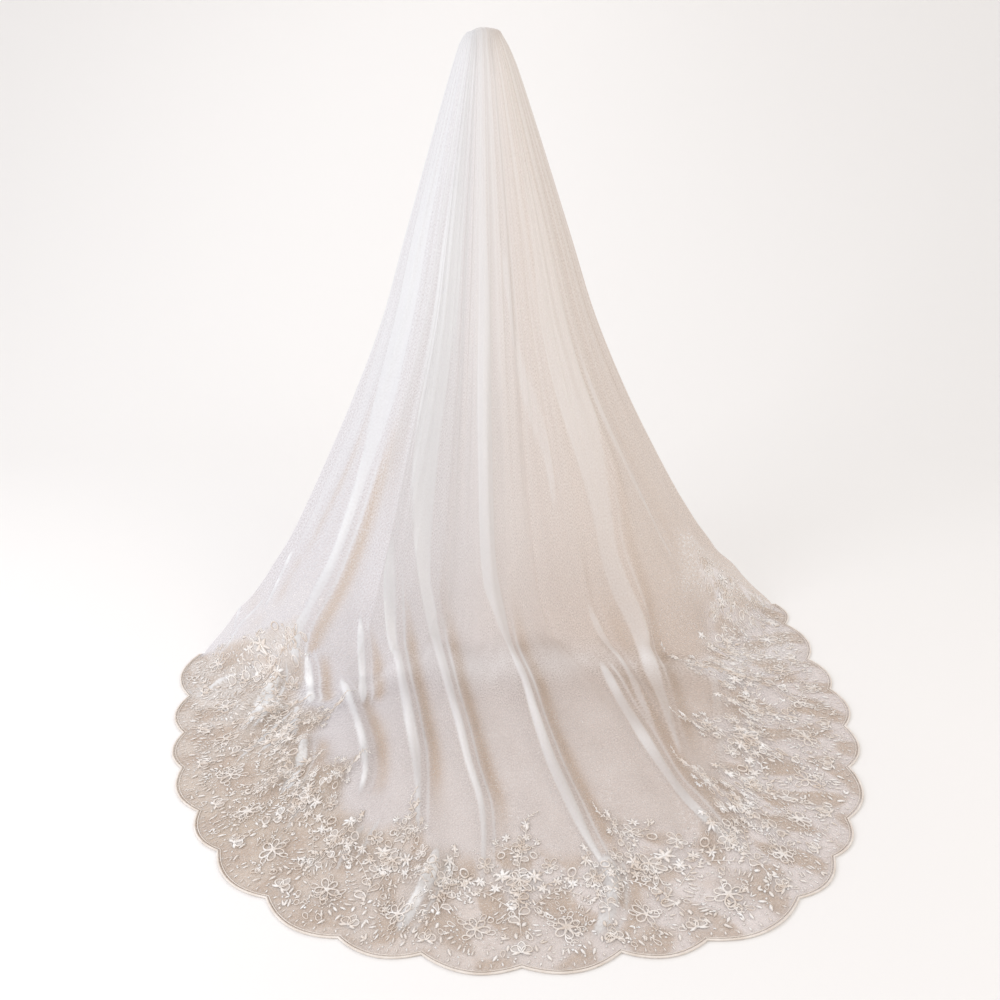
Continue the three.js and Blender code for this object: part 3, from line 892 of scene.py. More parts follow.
def net_material(name, opened, cover, layers, mottle):
    """A net whose single layer has the film's colour, whiter and denser where it is doubled."""
    material, tree, shader = new_material(name, Roughness=0.8, Specular_IOR_Level=0.2,
                                          Sheen_Weight=0.2, Sheen_Roughness=0.4)
    gathered = mark(tree, "gathered")
    swing = net_swing(tree, gathered)
    alpha = net_alpha(tree, gathered, math_node(tree, "MULTIPLY", swing, mottle), cover, layers)
    whiter = math_node(tree, "ADD", gathered,
                       math_node(tree, "MULTIPLY", swing, mottle * WHITE_MOTTLE))
    colour = net_colour(tree, whiter, opened)
    tree.links.new(colour, shader.inputs["Base Color"])
    through = add(tree, "ShaderNodeBsdfTranslucent", {"Color": colour})
    # where light is painted, the net lets less through and sends more back: a brighter painted
    # highlight
    dimmed = math_node(tree, "MULTIPLY", mark(tree, "bright"), PAINTED_LIGHT_THROUGH * THROUGH_SHARE)
    share = math_node(tree, "ADD", dimmed, THROUGH_SHARE)
    threads = add(tree, "ShaderNodeMixShader",
                  {0: share, 1: shader.outputs[0], 2: through.outputs[0]})
    holes = add(tree, "ShaderNodeBsdfTransparent")
    net = add(tree, "ShaderNodeMixShader", {0: alpha, 1: holes.outputs[0], 2: threads.outputs[0]})
    tree.links.new(net.outputs[0], tree.nodes["Material Output"].inputs["Surface"])
    return material


tulle.data.materials.append(net_material(
    "ivory_net", PAINTED_SHADE_FILM, NET_COVER, NET_LAYERS, NET_MOTTLE))
print("net material made, nodes:", len(tulle.data.materials[0].node_tree.nodes))

# %% [markdown]
# The embroidery is drawn flat first, as it is on the embroidery machine: along the hem and in
# from it. A few small shapes are repeated, each with a few dozen faces: a corded petal loop and
# the thin web inside it, a satin leaf, a ring, a short fan stroke and a sequin.

# %% The small shapes of the embroidery
LOOP_BULGE = 1.25
TUBE_SIDES = 4


def closed_tube(path, radius, sides=TUBE_SIDES):
    """A low round cord along a flat closed path. Returns its points and faces."""
    count = len(path)
    ahead = np.roll(path, -1, axis=0) - np.roll(path, 1, axis=0)
    ahead /= np.linalg.norm(ahead, axis=1, keepdims=True)
    normal = np.stack([-ahead[:, 1], ahead[:, 0]], -1)
    points, faces = [], []
    for i in range(count):
        j = (i + 1) % count
        for side in range(sides):
            turn = 2 * math.pi * (side + 0.5) / sides
            flat = path[i] + normal[i] * radius * math.cos(turn)
            points.append((flat[0], flat[1], radius * (0.7 + math.sin(turn))))
            k = (side + 1) % sides
            faces.append((i * sides + side, i * sides + k, j * sides + k, j * sides + side))
    return points, faces


def loop_outline(width, steps):
    """A petal's flat outline, from its root at 0,0 along +Y to 0,1."""
    turn = np.linspace(0, 2 * np.pi, steps, endpoint=False)
    y = 0.5 - 0.5 * np.cos(turn)
    x = width / 2 * np.sin(turn) * (0.45 + 0.55 * y) * LOOP_BULGE
    return np.stack([x, y], -1)


def ring_shape(radius=0.5, cord=0.09, steps=12):
    """A ring of cord, one unit wide."""
    turn = np.linspace(0, 2 * np.pi, steps, endpoint=False)
    return closed_tube(np.stack([radius * np.sin(turn), radius * np.cos(turn)], -1), cord)


def satin_leaf(width=0.46, rise=0.12, steps=6):
    """A padded satin leaf from 0,0 along +Y to 0,1."""
    points, faces = [(0, 0, 0)], []
    for step in range(1, steps):
        y = step / steps
        half = width / 2 * math.sin(math.pi * y ** 0.85)
        points += [(-half, y, 0), (0, y, rise * math.sin(math.pi * y)), (half, y, 0)]
    tip = len(points)
    points.append((0, 1, 0))
    for step in range(steps):
        low = [0, 0, 0] if step == 0 else [1 + 3 * (step - 1) + k for k in range(3)]
        high = [tip] * 3 if step == steps - 1 else [1 + 3 * step + k for k in range(3)]
        for k in range(2):
            ring = [low[k], low[k + 1], high[k + 1], high[k]]
            faces.append(tuple(dict.fromkeys(ring)))
        under = [low[0], high[0], high[2], low[2]]
        faces.append(tuple(dict.fromkeys(under)))
    return points, [f for f in faces if len(f) > 2]


def sequin_shape(radius=0.5, rise=0.16, steps=8):
    """A low round sequin that rises to its middle."""
    points = [(0, 0, rise)]
    points += [(radius * math.sin(2 * math.pi * k / steps),
                radius * math.cos(2 * math.pi * k / steps), 0.02) for k in range(steps)]
    faces = [(0, 1 + (k + 1) % steps, 1 + k) for k in range(steps)]
    faces.append(tuple(1 + k for k in range(steps)))
    return points, faces


def web_shape(width=0.50, steps=10):
    """The thin stitched web inside a petal loop."""
    outline = loop_outline(width, steps)
    return [(x, y, 0) for x, y in outline], [tuple(range(steps - 1, -1, -1))]


SHAPES = {
    "petal": closed_tube(loop_outline(0.56, 12), 0.055),
    "leaf": satin_leaf(),
    "ring": ring_shape(),
    "stroke": satin_leaf(width=0.30, rise=0.10, steps=4),
    "sequin": sequin_shape(),
    "web": web_shape(),
}
print("faces in each shape:", {name: len(faces) for name, (_, faces) in SHAPES.items()})

# %% [markdown]
# The pattern is a list of places, turns and sizes for each small shape. Blossoms and leafy
# stems are its words: a stem is a flat line with leaves on alternate sides.

# %% Blossoms and leafy stems
LAYOUT_SEED = 5
draw = np.random.default_rng(LAYOUT_SEED)
stitches = {name: [] for name in SHAPES}     # rows of x, y, turn, size
stems = []                                   # flat lines of x, y


def put(shape, x, y, turn, size):
    stitches[shape].append((x, y, turn, size))


def looped_leaf(x, y, turn, size):
    put("petal", x, y, turn, size)
    put("web", x, y, turn, size)


def blossom(x, y, size, turn=0.0):
    """Five looped petals round a sequin, each with a thin stitched web inside."""
    for k in range(5):
        angle = turn + 2 * math.pi * k / 5
        put("petal", x, y, angle, size * draw.uniform(0.92, 1.05))
        put("web", x, y, angle, size)
    put("ring", x, y, 0, size * 0.30)
    put("sequin", x, y, 0, 0.006)


def small_blossom(x, y, size, turn=0.0):
    for k in range(5):
        put("leaf", x, y, turn + 2 * math.pi * k / 5, size)
    put("sequin", x, y, 0, 0.005)


def satin_blossom(x, y, size, turn=0.0):
    """A padded blossom of six satin petals."""
    for k in range(6):
        put("leaf", x, y, turn + math.pi * k / 3, size * draw.uniform(0.9, 1.1))
    put("ring", x, y, 0, size * 0.34)
    put("sequin", x, y, 0, size * 0.28)


def leafy_stem(line, start, gap, size, loops=False, spread=0.8):
    """A stem with leaves on alternate sides, from a list of flat points."""
    line = np.asarray(line)
    stems.append(line)
    run = np.concatenate([[0], np.cumsum(np.linalg.norm(np.diff(line, axis=0), axis=1))])
    side = 1
    at = start
    while at < run[-1]:
        x, y = (np.interp(at, run, line[:, k]) for k in range(2))
        i = min(np.searchsorted(run, at), len(line) - 1)
        way = line[i] - line[i - 1]
        heading = math.atan2(-way[0], way[1])
        turn = heading + side * spread
        grown = size * (1 - 0.35 * at / run[-1]) * draw.uniform(0.88, 1.1)
        if loops:
            looped_leaf(x, y, turn, grown)
        else:
            put("leaf", x, y, turn, grown)
        side = -side
        at += gap
    heading = math.atan2(-(line[-1] - line[-2])[0], (line[-1] - line[-2])[1])
    put("leaf", line[-1][0], line[-1][1], heading, size)


def bent(x0, y0, x1, y1, bow, steps=14):
    """A flat line from one place to another that bows to one side."""
    t = np.linspace(0, 1, steps)
    dx, dy = x1 - x0, y1 - y0
    return np.stack([x0 + dx * t - dy * bow * np.sin(np.pi * t),
                     y0 + dy * t + dx * bow * np.sin(np.pi * t)], -1)


def around(x, y, radius, angle):
    return x - radius * math.sin(angle), y + radius * math.cos(angle)


print("shapes to lay out:", list(stitches))

# %% [markdown]
# In each scallop sits a rosette: a blossom in a ring with a fan of short strokes about it. A
# trefoil fills the notch between two scallops.

# %% Rosettes and trefoils
FAN_OPENING = 0.83
FAN_STROKES = 32
FAN_RADIUS = 0.052


def rosette(x, y):
    """A looped blossom in a ring of short fanned strokes that opens inwards."""
    turn = draw.uniform(0, 1)
    x += draw.uniform(-0.005, 0.005)
    petals = int(draw.integers(5, 8))
    for k in range(petals):
        put("petal", x, y, turn + 2 * math.pi * k / petals, 0.029 * draw.uniform(0.85, 1.1))
    for k in range(4):
        angle = turn + math.pi * (k + 0.5) / 2
        put("petal", *around(x, y, 0.020, angle), angle + draw.uniform(-0.7, 0.7), 0.020)
    put("ring", x, y, 0, 0.009)
    put("sequin", x, y, 0, 0.006)
    for k in range(FAN_STROKES):
        angle = 2 * math.pi * (k + 0.5 + draw.uniform(-0.3, 0.3)) / FAN_STROKES
        if math.cos(angle) < FAN_OPENING and draw.random() < 0.75:
            size = 0.018 * draw.uniform(0.7, 1.2)
            radius = FAN_RADIUS + draw.uniform(-0.005, 0.004)
            put("stroke", *around(x, y, radius, angle), angle + draw.uniform(-0.35, 0.35), size)
            put("sequin", *around(x, y, radius - 0.007, angle), 0, 0.004)
    for side in (-1, 1):
        for k in range(4):
            angle = side * (1.5 + 0.34 * k)
            put("leaf", *around(x, y, 0.077, angle), angle + side * 1.1, 0.017)


def trefoil(x, y):
    """Three looped leaves that fill the notch between two scallops."""
    for angle in (-0.75, 0.0, 0.75):
        looped_leaf(x, y, angle, 0.024)
    for angle in (-1.5, 1.5):
        put("leaf", x, y, angle, 0.018)
    put("sequin", x, y, 0, 0.006)


print("strokes in a fan, at most:", FAN_STROKES)

# %% [markdown]
# Sprays of looped leaves and blossoms rise from the cusps, tall and short in turn. A swag of
# leaves arches over each rosette and joins them.

# %% Sprays and swags


def tall_spray(x):
    """A leaning stem of looped leaves with side stems and blossoms, the height of the lace."""
    lean = draw.uniform(-0.03, 0.03)
    tip = x + lean
    leafy_stem(bent(x, 0.075, tip, 0.375, 0.05), 0.03, 0.019, 0.030, loops=True)
    leafy_stem(bent(tip, 0.375, tip + 1.2 * lean, 0.435, 0.2), 0.008, 0.010, 0.014)
    for side in (-1, 1):
        satin_blossom(x + side * 0.036, 0.240, 0.022, turn=side)
        satin_blossom(x + side * 0.026, 0.352, 0.014, turn=side)
    for side in (-1, 1):
        leafy_stem(bent(x, 0.150, x + side * 0.075, 0.262, side * 0.2), 0.02, 0.016, 0.019)
        leafy_stem(bent(x, 0.250, x + side * 0.052, 0.335, side * 0.2), 0.02, 0.014, 0.016)
        blossom(x + side * 0.078, 0.272, 0.023, turn=side * 0.4)
        put("ring", x + side * 0.040, 0.300, 0, 0.018)
        small_blossom(x + side * 0.055, 0.345, 0.012)
    blossom(x, 0.215, 0.030, turn=0.3)
    blossom(x + 0.008, 0.318, 0.022, turn=0.1)
    small_blossom(tip, 0.395, 0.015)


def short_spray(x):
    """A straight stem with two side stems and one blossom."""
    leafy_stem(bent(x, 0.075, x + 0.010, 0.275, -0.06), 0.03, 0.018, 0.026, loops=True)
    satin_blossom(x, 0.245, 0.020, turn=0.5)
    for side in (-1, 1):
        leafy_stem(bent(x, 0.120, x + side * 0.055, 0.225, side * 0.25), 0.02, 0.015, 0.017)
        put("ring", x + side * 0.046, 0.236, 0, 0.022)
    blossom(x, 0.195, 0.026, turn=0.9)
    small_blossom(x + 0.008, 0.285, 0.014)


def swag(x0, x1):
    """An arched vine over the rosette, with leaves and small blossoms along it."""
    leafy_stem(bent(x0, 0.150, x1, 0.150, 0.38, 20), 0.012, 0.012, 0.018, spread=1.0)
    leafy_stem(bent(x0, 0.190, x1, 0.190, 0.28, 20), 0.012, 0.014, 0.015, spread=0.9)
    for share in (0.22, 0.5, 0.78):
        bow = math.sin(math.pi * share)
        satin_blossom(x0 + (x1 - x0) * share, 0.176 + 0.050 * bow, 0.015, turn=share)


print("leafy stems so far:", len(stems))

# %% [markdown]
# Small strokes and sequins follow the corded edge. Then the motifs are set out along the hem,
# one scallop after another, so that each one comes out a little different.

# %% The pattern along the hem
EDGE_STROKES = 9
EDGE_SEQUINS = 4
ROSETTE_IN = 0.104
TREFOIL_IN = 0.034
SWAG_GAP = 0.022


def edge_row(x0):
    """Small leaves and sequins that follow the corded edge of one scallop."""
    for k in range(EDGE_STROKES):
        share = (k + 0.5) / EDGE_STROKES
        put("stroke", x0 + SCALLOP_WIDTH * share, 0.012, 0.9 * (share - 0.5), 0.011)
    for k in range(EDGE_SEQUINS):
        put("sequin", x0 + SCALLOP_WIDTH * (k + 0.5) / EDGE_SEQUINS, 0.030, 0, 0.0045)


for scallop in range(SCALLOPS):
    left = scallop * SCALLOP_WIDTH
    rosette(left + SCALLOP_WIDTH / 2, ROSETTE_IN)
    swag(left + SWAG_GAP, left + SCALLOP_WIDTH - SWAG_GAP)
    edge_row(left)
    if scallop > 0:
        trefoil(left, TREFOIL_IN)
    if scallop % 2 == 1:
        tall_spray(left)
    elif scallop > 0:
        short_spray(left)
print("shapes in the motifs:", sum(len(rows) for rows in stitches.values()))

# %% [markdown]
# Small leaves, rings and sequins fill the ground between the motifs, in drifts rather than
# evenly. Whatever would run off the lace at its two narrow corners is then left out.

# %% The filling between the motifs
FILLERS = 2300
FILLER_DEPTH = (0.020, 0.30)
FILLER_PATCH = 0.11
SCATTERED = 500
SCATTER_DEPTH = (0.02, 0.31)
CORNER_REACH = 0.3
SHAPE_MARGIN = 0.012
STEM_MARGIN = 0.005
INNER_MARGIN = 0.02


def patches(x, y, size, phase=0.0):
    """Slow irregular patches over the flat pattern, from 0 to 1."""
    waves = (np.sin(6.3 * x / size + 1.3 * np.sin(4.1 * y / size + phase) + phase)
             + np.sin(5.1 * (y + 0.45 * x) / size + 1.7 * np.sin(3.3 * x / size) + 2 * phase))
    return 0.5 + 0.25 * waves


for _ in range(FILLERS):
    x, y = draw.uniform(0, HEM_LENGTH), draw.uniform(*FILLER_DEPTH)
    drift = patches(x, y, FILLER_PATCH) ** 2 * 1.5
    if draw.random() > drift or y > 0.21 + 0.09 * draw.random():
        continue
    heading = draw.uniform(0, 2 * math.pi)
    kind = draw.random()
    if kind < 0.50:
        for side in (-0.45, 0.45):
            put("stroke" if kind < 0.25 else "leaf", x, y, heading + side,
                draw.uniform(0.009, 0.017))
    elif kind < 0.70:
        put("ring", x, y, 0, draw.uniform(0.006, 0.013))
    else:
        put("petal", x, y, heading, draw.uniform(0.012, 0.020))
    put("sequin", *around(x, y, 0.009, heading + 2), 0, draw.uniform(0.003, 0.007))
for _ in range(SCATTERED):
    put("sequin", draw.uniform(0, HEM_LENGTH), draw.uniform(*SCATTER_DEPTH), 0,
        draw.uniform(0.003, 0.0055))


def on_lace(x, y, side_margin, inner_margin):
    """Whether flat places lie on the lace, which narrows to nothing at the two corners."""
    from_side = np.minimum(x, HEM_LENGTH - x)
    depth = lace_depth(np.clip(x / SCALLOP_WIDTH, 0, SCALLOPS))
    return (from_side > side_margin) & ((from_side >= CORNER_REACH) | (y < depth - inner_margin))


for name, rows in stitches.items():
    table = np.array(rows)
    inner = 0.0 if name == "sequin" else INNER_MARGIN
    stitches[name] = table[on_lace(table[:, 0], table[:, 1], SHAPE_MARGIN, inner)]
print("stitched shapes:", {name: len(table) for name, table in stitches.items()})

# %% [markdown]
# The net behind the lace is cloudy where stitches crowd it and bare between them, so how full
# of stitches each place is gets counted on a fine grid over the flat pattern and blurred.

# %% How full of stitches the lace is
COUNT_CELL = 0.008
COUNT_DEPTH = 0.46
BLUR_PASSES = 3
FULL_COUNT = 0.55
FULL_SIZE = 0.02


def stitched_share():
    """How full of stitches each cell of the flat pattern is, from 0 to 1."""
    across = int(HEM_LENGTH / COUNT_CELL) + 1
    deep = int(COUNT_DEPTH / COUNT_CELL) + 1
    count = np.zeros((across, deep))
    for name, table in stitches.items():
        if name == "sequin":
            continue
        middle_x = table[:, 0] - table[:, 3] * 0.5 * np.sin(table[:, 2])
        middle_y = table[:, 1] + table[:, 3] * 0.5 * np.cos(table[:, 2])
        i = np.clip((middle_x / COUNT_CELL).astype(int), 0, across - 1)
        j = np.clip((middle_y / COUNT_CELL).astype(int), 0, deep - 1)
        np.add.at(count, (i, j), (table[:, 3] / FULL_SIZE) ** 2)
    for _ in range(BLUR_PASSES):
        for axis in (0, 1):
            count = (np.roll(count, 1, axis) + count + np.roll(count, -1, axis)) / 3
    return smooth(count / FULL_COUNT)


fullness = stitched_share()
print("cells of the pattern:", fullness.shape, "mean fullness:", round(fullness.mean(), 2))

# %% [markdown]
# The lace has a net ground of its own, which meets the plain net where the two are sewn. It is
# laid on the same cloth, and its marks come from the stitches, from slow patches and from the
# cloth's painted shade and painted light.

# %% The net ground of the lace
LACE_COLUMNS = 961
LACE_ROWS = 56
# tan of the bare lace net, also used for the painted shade beside creases
LACE_BARE_AND_SHADE = "c3ac97"
LACE_COVER = 0.57
LACE_LAYERS = 1.4
LACE_MOTTLE = 0.40
BARE_BLEND = 0.07
STITCHED_WHITE = 0.85
HEM_WHITE = 0.4
HEM_BAND = 0.020
CLOUDY_WHITE = 0.6

q_lace = np.linspace(0, SCALLOPS, LACE_COLUMNS)
lace_ribs = Ribs(q_lace)
lace_share = np.linspace(0, 1, LACE_ROWS)[None, :]
lace_along = lace_ribs.length[:, None] - lace_depth(q_lace)[:, None] * (1 - lace_share)
lace_points, lace_gathered, lace_open, lace_bright = cloth(lace_ribs, lace_along)
lace_x = (q_lace * SCALLOP_WIDTH)[:, None] * np.ones_like(lace_along)
lace_y = lace_ribs.length[:, None] - lace_along
filled = fullness[np.clip((lace_x / COUNT_CELL).astype(int), 0, fullness.shape[0] - 1),
                  np.clip((lace_y / COUNT_CELL).astype(int), 0, fullness.shape[1] - 1)]
hem_band = np.exp(-(lace_y / HEM_BAND) ** 2)
filled = 1 - (1 - STITCHED_WHITE * filled) * (1 - HEM_WHITE * hem_band)
filled = filled * (0.5 + patches(lace_x, lace_y, 0.16, 1.0)).clip(0, 1)
cloudy = 1 - (1 - lace_gathered) * (1 - CLOUDY_WHITE * filled)
gaps = smooth((patches(lace_x, lace_y, 0.13, 2.6) - 0.42) / 0.26)
laced = smooth((lace_depth(q_lace)[:, None] - lace_y) / BARE_BLEND)
# bare lace between stitches keeps its own tan; beside creases the tan is painted shade
ground = sheet_mesh("lace_ground", lace_points, np.stack([lace_x, lace_y], -1),
                    gathered=cloudy, open=np.maximum((1 - filled) * gaps * laced, lace_open),
                    bright=lace_bright, laced=laced)
ground.data.materials.append(net_material(
    "lace_net", LACE_BARE_AND_SHADE, LACE_COVER, LACE_LAYERS, LACE_MOTTLE))
print("lace ground faces:", len(ground.data.polygons))

# %% [markdown]
# A guide surface carries the flat pattern onto the draped cloth: it has the same places as the
# cloth, and a UV map that runs along the hem and in from it. Geometry Nodes put a shape on
# each point of the layout, make the copies real, and then look up, for every one of their
# points, where that place of the pattern lies on the guide and which way the cloth faces there.

# %% The guide surface
GUIDE_DEPTH = 0.46
GUIDE_COLUMNS = 601
GUIDE_ROWS = 64

q_guide = np.linspace(0, SCALLOPS, GUIDE_COLUMNS)
guide_ribs = Ribs(q_guide)
guide_depth = np.linspace(GUIDE_DEPTH, 0, GUIDE_ROWS)[None, :] * np.ones((GUIDE_COLUMNS, 1))
guide_points, *_ = cloth(guide_ribs, guide_ribs.length[:, None] - guide_depth)
guide_uv = np.stack([(q_guide / SCALLOPS)[:, None] * np.ones_like(guide_depth),
                     guide_depth / GUIDE_DEPTH], -1)
guide = sheet_mesh("guide", guide_points, guide_uv)
print("guide faces:", len(guide.data.polygons))

# %% [markdown]
# Two trees use the guide, and both end the same way. Each flat point is moved to the place that
# its own x and y have on the guide, and then off it by its height, along the way the cloth
# faces. Points that fall beside the cloth are left out.

# %% From the flat pattern onto the cloth
CLOTH_INPUTS = [("Cloth", "NodeSocketObject"), ("Hem length", "NodeSocketFloat"),
                ("Depth", "NodeSocketFloat"), ("Lift", "NodeSocketFloat"),
                ("Material", "NodeSocketMaterial")]


def tree_with(name, inputs):
    """A Geometry Nodes tree with a geometry in and out and named inputs."""
    tree = bpy.data.node_groups.new(name, "GeometryNodeTree")
    tree.interface.new_socket("Geometry", in_out="INPUT", socket_type="NodeSocketGeometry")
    for label, kind in inputs:
        tree.interface.new_socket(label, in_out="INPUT", socket_type=kind)
    tree.interface.new_socket("Geometry", in_out="OUTPUT", socket_type="NodeSocketGeometry")
    return tree, tree.nodes.new("NodeGroupInput"), tree.nodes.new("NodeGroupOutput")


def stored(tree, name, kind="FLOAT"):
    return add(tree, "GeometryNodeInputNamedAttribute", {"Name": name},
               data_type=kind).outputs["Attribute"]


def onto_cloth(tree, group_in, geometry):
    """Moves flat points (along the hem, in from it, up) onto the guide's surface."""
    place = add(tree, "GeometryNodeInputPosition")
    parts = add(tree, "ShaderNodeSeparateXYZ", {0: place.outputs[0]})
    across = math_node(tree, "DIVIDE", parts.outputs["X"], group_in.outputs["Hem length"])
    inward = math_node(tree, "DIVIDE", parts.outputs["Y"], group_in.outputs["Depth"])
    spot = add(tree, "ShaderNodeCombineXYZ", {0: across, 1: inward})
    cloth_in = add(tree, "GeometryNodeObjectInfo", {"Object": group_in.outputs["Cloth"]})
    uv = stored(tree, "cloth", "FLOAT_VECTOR")
    found = []
    for kind in ("GeometryNodeInputPosition", "GeometryNodeInputNormal"):
        field = add(tree, kind)
        found.append(add(tree, "GeometryNodeSampleUVSurface", {
            "Mesh": cloth_in.outputs["Geometry"], "Value": field.outputs[0],
            "Source UV Map": uv, "Sample UV": spot.outputs[0]},
            data_type="FLOAT_VECTOR"))
    raised = math_node(tree, "ADD", parts.outputs["Z"], group_in.outputs["Lift"])
    off = add(tree, "ShaderNodeVectorMath", {0: found[1].outputs["Value"], "Scale": raised},
              operation="SCALE")
    final = add(tree, "ShaderNodeVectorMath",
                {0: found[0].outputs["Value"], 1: off.outputs[0]}, operation="ADD")
    lost = add(tree, "FunctionNodeBooleanMath", {0: found[0].outputs["Is Valid"]},
               operation="NOT")
    kept = add(tree, "GeometryNodeDeleteGeometry", {"Geometry": geometry,
                                                   "Selection": lost.outputs[0]})
    return add(tree, "GeometryNodeSetPosition", {"Geometry": kept.outputs[0],
                                                 "Position": final.outputs[0]})


def finish(tree, group_in, group_out, geometry):
    """Gives the geometry its material and sends it out of the tree."""
    done = add(tree, "GeometryNodeSetMaterial", {"Geometry": geometry,
                                                 "Material": group_in.outputs["Material"]})
    tree.links.new(done.outputs[0], group_out.inputs["Geometry"])
    return tree


print("inputs of both trees:", [label for label, kind in CLOTH_INPUTS])

# %% [markdown]
# One tree stitches copies of a small shape on the cloth. The other lays a round cord along loose
# edges, for the stems and for the corded scallops.

# %% The two trees


def stitch_tree():
    """Puts the shape on each point with its turn and size, and lays it all on the cloth."""
    tree, group_in, group_out = tree_with("stitch_on_cloth",
                                          [("Shape", "NodeSocketObject")] + CLOTH_INPUTS)
    shape = add(tree, "GeometryNodeObjectInfo", {"Object": group_in.outputs["Shape"]})
    spin = add(tree, "ShaderNodeCombineXYZ", {2: stored(tree, "turn")})
    rotation = add(tree, "FunctionNodeEulerToRotation", {0: spin.outputs[0]})
    copies = add(tree, "GeometryNodeInstanceOnPoints", {
        "Points": group_in.outputs["Geometry"], "Instance": shape.outputs["Geometry"],
        "Rotation": rotation.outputs[0], "Scale": stored(tree, "size")})
    real = add(tree, "GeometryNodeRealizeInstances", {0: copies.outputs[0]})
    laid = onto_cloth(tree, group_in, real.outputs[0])
    return finish(tree, group_in, group_out, laid.outputs[0])


def cord_tree():
    """Lays loose edges on the cloth and gives them a round section."""
    tree, group_in, group_out = tree_with("lay_cord", [("Radius", "NodeSocketFloat"),
                                                       ("Sides", "NodeSocketInt")] + CLOTH_INPUTS)
    laid = onto_cloth(tree, group_in, group_in.outputs["Geometry"])
    curve = add(tree, "GeometryNodeMeshToCurve", {"Mesh": laid.outputs[0]})
    ring = add(tree, "GeometryNodeCurvePrimitiveCircle", {
        "Resolution": group_in.outputs["Sides"], "Radius": group_in.outputs["Radius"]})
    tube = add(tree, "GeometryNodeCurveToMesh", {
        "Curve": curve.outputs[0], "Profile Curve": ring.outputs["Curve"], "Fill Caps": True})
    real = add(tree, "GeometryNodeRealizeInstances", {0: tube.outputs[0]})
    return finish(tree, group_in, group_out, real.outputs[0])


STITCH_TREE = stitch_tree()
CORD_TREE = cord_tree()
print("nodes in the trees:", len(STITCH_TREE.nodes), len(CORD_TREE.nodes))

# %% [markdown]
# A tree is run by a modifier on a carrier, an object that only holds points or edges. What comes
# out is kept as a plain mesh, and the carrier is thrown away.

# %% Running the trees
ON_CLOTH = {"Cloth": guide, "Hem length": HEM_LENGTH, "Depth": GUIDE_DEPTH}


def run_tree(name, carrier, tree, values):
    """Runs a tree on a carrier object and keeps what it makes as a plain mesh."""
    modifier = carrier.modifiers.new("make", "NODES")
    modifier.node_group = tree
    values = {**ON_CLOTH, **values}
    for item in tree.interface.items_tree:
        if item.in_out == "INPUT" and item.name in values:
            modifier[item.identifier] = values[item.name]
    bpy.context.view_layer.update()
    evaluated = carrier.evaluated_get(bpy.context.evaluated_depsgraph_get())
    mesh = bpy.data.meshes.new_from_object(evaluated)
    mesh.name = name
    bpy.data.objects.remove(carrier)
    piece = placed(name, mesh)
    mesh.polygons.foreach_set("use_smooth", [True] * len(mesh.polygons))
    print(name, "faces:", len(mesh.polygons))
    return piece


def stitch(shape, material, lift):
    """All the copies of one small shape, stitched on the cloth as one mesh."""
    table = stitches[shape]
    points = np.column_stack([table[:, :2], np.zeros(len(table))])
    carrier = mesh_object("layout", points, [])
    for label, column in (("turn", 2), ("size", 3)):
        store = carrier.data.attributes.new(label, "FLOAT", "POINT")
        store.data.foreach_set("value", table[:, column].astype(np.float32))
    pattern = mesh_object("pattern", *SHAPES[shape])
    piece = run_tree("embroidery_" + shape, carrier, STITCH_TREE,
                     {"Shape": pattern, "Lift": lift, "Material": material})
    bpy.data.objects.remove(pattern)
    return piece


def lay_cord(name, carrier, radius, sides, lift, material):
    """A round cord along the carrier's edges, laid on the cloth as one mesh."""
    return run_tree(name, carrier, CORD_TREE,
                    {"Radius": radius, "Sides": sides, "Lift": lift, "Material": material})


print("hem length:", round(HEM_LENGTH, 3), "m")

# %% [markdown]
# Thread has fine ridges and is champagne in some places and bright in others, as where the
# stitches catch the light. The sequins have a clear coat, and the web is half see-through.

# %% The threads' materials
THREAD_RELIEF = 0.0008
FADE_SCALE = 26.0
FADE_FROM = 0.36
FADE_TO = 0.66


def thread_material(name, code, bright, scale, bump, **values):
    """A finish with fine ridges that goes from one colour to a brighter one in patches."""
    material, tree, shader = new_material(name, **values)
    place = add(tree, "ShaderNodeTexCoord").outputs["Object"]
    relief = add(tree, "ShaderNodeBump", {"Strength": bump, "Distance": THREAD_RELIEF,
                                          "Height": noise(tree, place, scale, 3.0)})
    tree.links.new(relief.outputs[0], shader.inputs["Normal"])
    share = add(tree, "ShaderNodeMapRange", {
        "Value": noise(tree, place, FADE_SCALE, 4.0, roughness=0.7),
        "From Min": FADE_FROM, "From Max": FADE_TO})
    colour = mix_colours(tree, share.outputs["Result"], code, bright)
    tree.links.new(colour, shader.inputs["Base Color"])
    return material


satin = thread_material("satin_stitch", "ddcfc2", "fcfaf8", 600, 0.5,
                        Roughness=0.45, Sheen_Weight=0.3)
corded = thread_material("corded_stitch", "d9c9ba", "faf6f2", 900, 0.6,
                         Roughness=0.5, Sheen_Weight=0.3)
web = thread_material("stitched_web", "d8c8bb", "f3efec", 500, 0.4,
                      Roughness=0.7, Sheen_Weight=0.2, Alpha=0.5)
piping = thread_material("corded_piping", "d9cdc1", "ece4dc", 900, 0.6,
                         Roughness=0.55, Sheen_Weight=0.3)
pearl = thread_material("sequin_pearl", "f0e6dc", "ffffff", 300, 0.1,
                        Roughness=0.3, Coat_Weight=0.6)
print("thread materials:", [material.name for material in (satin, corded, web, piping, pearl)])

# %% [markdown]
# Each small shape becomes one piece with all its copies. A real border is stitched flat and
# then draped with the net it is sewn to, so the copies follow the folds.

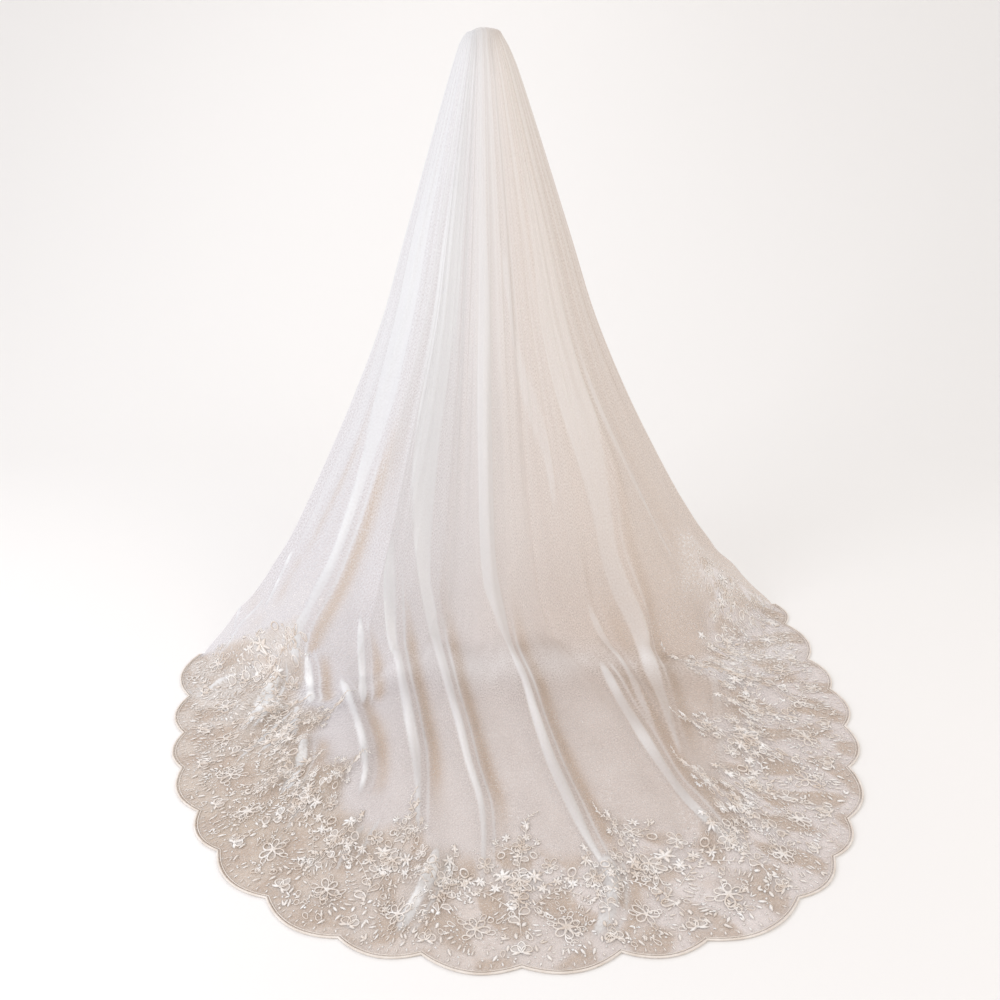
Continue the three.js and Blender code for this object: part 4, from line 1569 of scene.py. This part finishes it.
# %% The embroidery on the cloth
LIFT = 0.0006
embroidery = [stitch(shape, thread, lift) for shape, thread, lift in (
    ("petal", corded, LIFT), ("leaf", satin, LIFT), ("ring", corded, LIFT),
    ("stroke", satin, LIFT), ("sequin", pearl, LIFT * 2), ("web", web, LIFT))]

# %% [markdown]
# The stems are fine cords that join the leaves. Each one's middle lies its own radius above
# the cloth, so that it rests on the net.

# %% The stems
STEM_RADIUS = 0.0009
STEM_SIDES = 4


def stem_carrier():
    """All the stems as loose edges, without those that would run off the lace."""
    points, edges = [], []
    for line in stems:
        inside = on_lace(line[:, 0], line[:, 1], STEM_MARGIN, INNER_MARGIN)
        first = len(points)
        points += [(x, y, 0) for x, y in line]
        edges += [(first + i, first + i + 1) for i in range(len(line) - 1)
                  if inside[i] and inside[i + 1]]
    return mesh_object("stems", points, [], edges)


embroidery.append(
    lay_cord("embroidery_stem", stem_carrier(), STEM_RADIUS, STEM_SIDES, STEM_RADIUS, corded))

# %% [markdown]
# A cord is stitched along the scallops, and a finer one runs just inside it. Both follow the
# hem, so a line of points along it is laid on the cloth and given a round section.

# %% The corded scallop edge
CORD_RADIUS = 0.0020
CORD_INSET = 0.0004
CORD_SIDES = 10
CORD_STEPS = 28
INNER_RADIUS = 0.0009
INNER_INSET = 0.006
INNER_SIDES = 6


def edge_line(inset):
    """A flat line of points along the whole hem, as far in from it as the inset."""
    q = np.linspace(0, SCALLOPS, SCALLOPS * CORD_STEPS + 1)
    points = [(x, inset, 0) for x in q * SCALLOP_WIDTH]
    return mesh_object("edge_line", points, [], [(i, i + 1) for i in range(len(points) - 1)])


hem_cord = lay_cord("hem_cord", edge_line(CORD_INSET), CORD_RADIUS, CORD_SIDES,
                    CORD_RADIUS - LACE_WALL / 2, piping)
embroidery.append(
    lay_cord("inner_cord", edge_line(INNER_INSET), INNER_RADIUS, INNER_SIDES, INNER_RADIUS,
             piping))
bpy.data.objects.remove(guide)

# %% [markdown]
# The comb is hidden in the hair under the gathers. Its solid is already right, so it only
# needs the finish of smooth ivory plastic.

# %% The comb
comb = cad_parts["comb"]
comb_finish = thread_material("comb_plastic", "e5ddd0", "eee9e0", 40, 0.02, Roughness=0.22)
comb.data.materials.clear()
comb.data.materials.append(comb_finish)
print("comb finish:", comb_finish.name)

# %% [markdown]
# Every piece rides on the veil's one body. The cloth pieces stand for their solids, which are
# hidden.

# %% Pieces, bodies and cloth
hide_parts("tulle")
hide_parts("lace_border")
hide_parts("scallop_cord")
for piece, slot in ((tulle, "tulle"), (ground, "lace"), (hem_cord, "cord")):
    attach(piece, "root")
for piece in embroidery:
    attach(piece, "root")


def area_of(piece):
    return sum(face.area for face in piece.data.polygons)


print("net area:", round(area_of(tulle), 3), "lace area:", round(area_of(ground), 3))
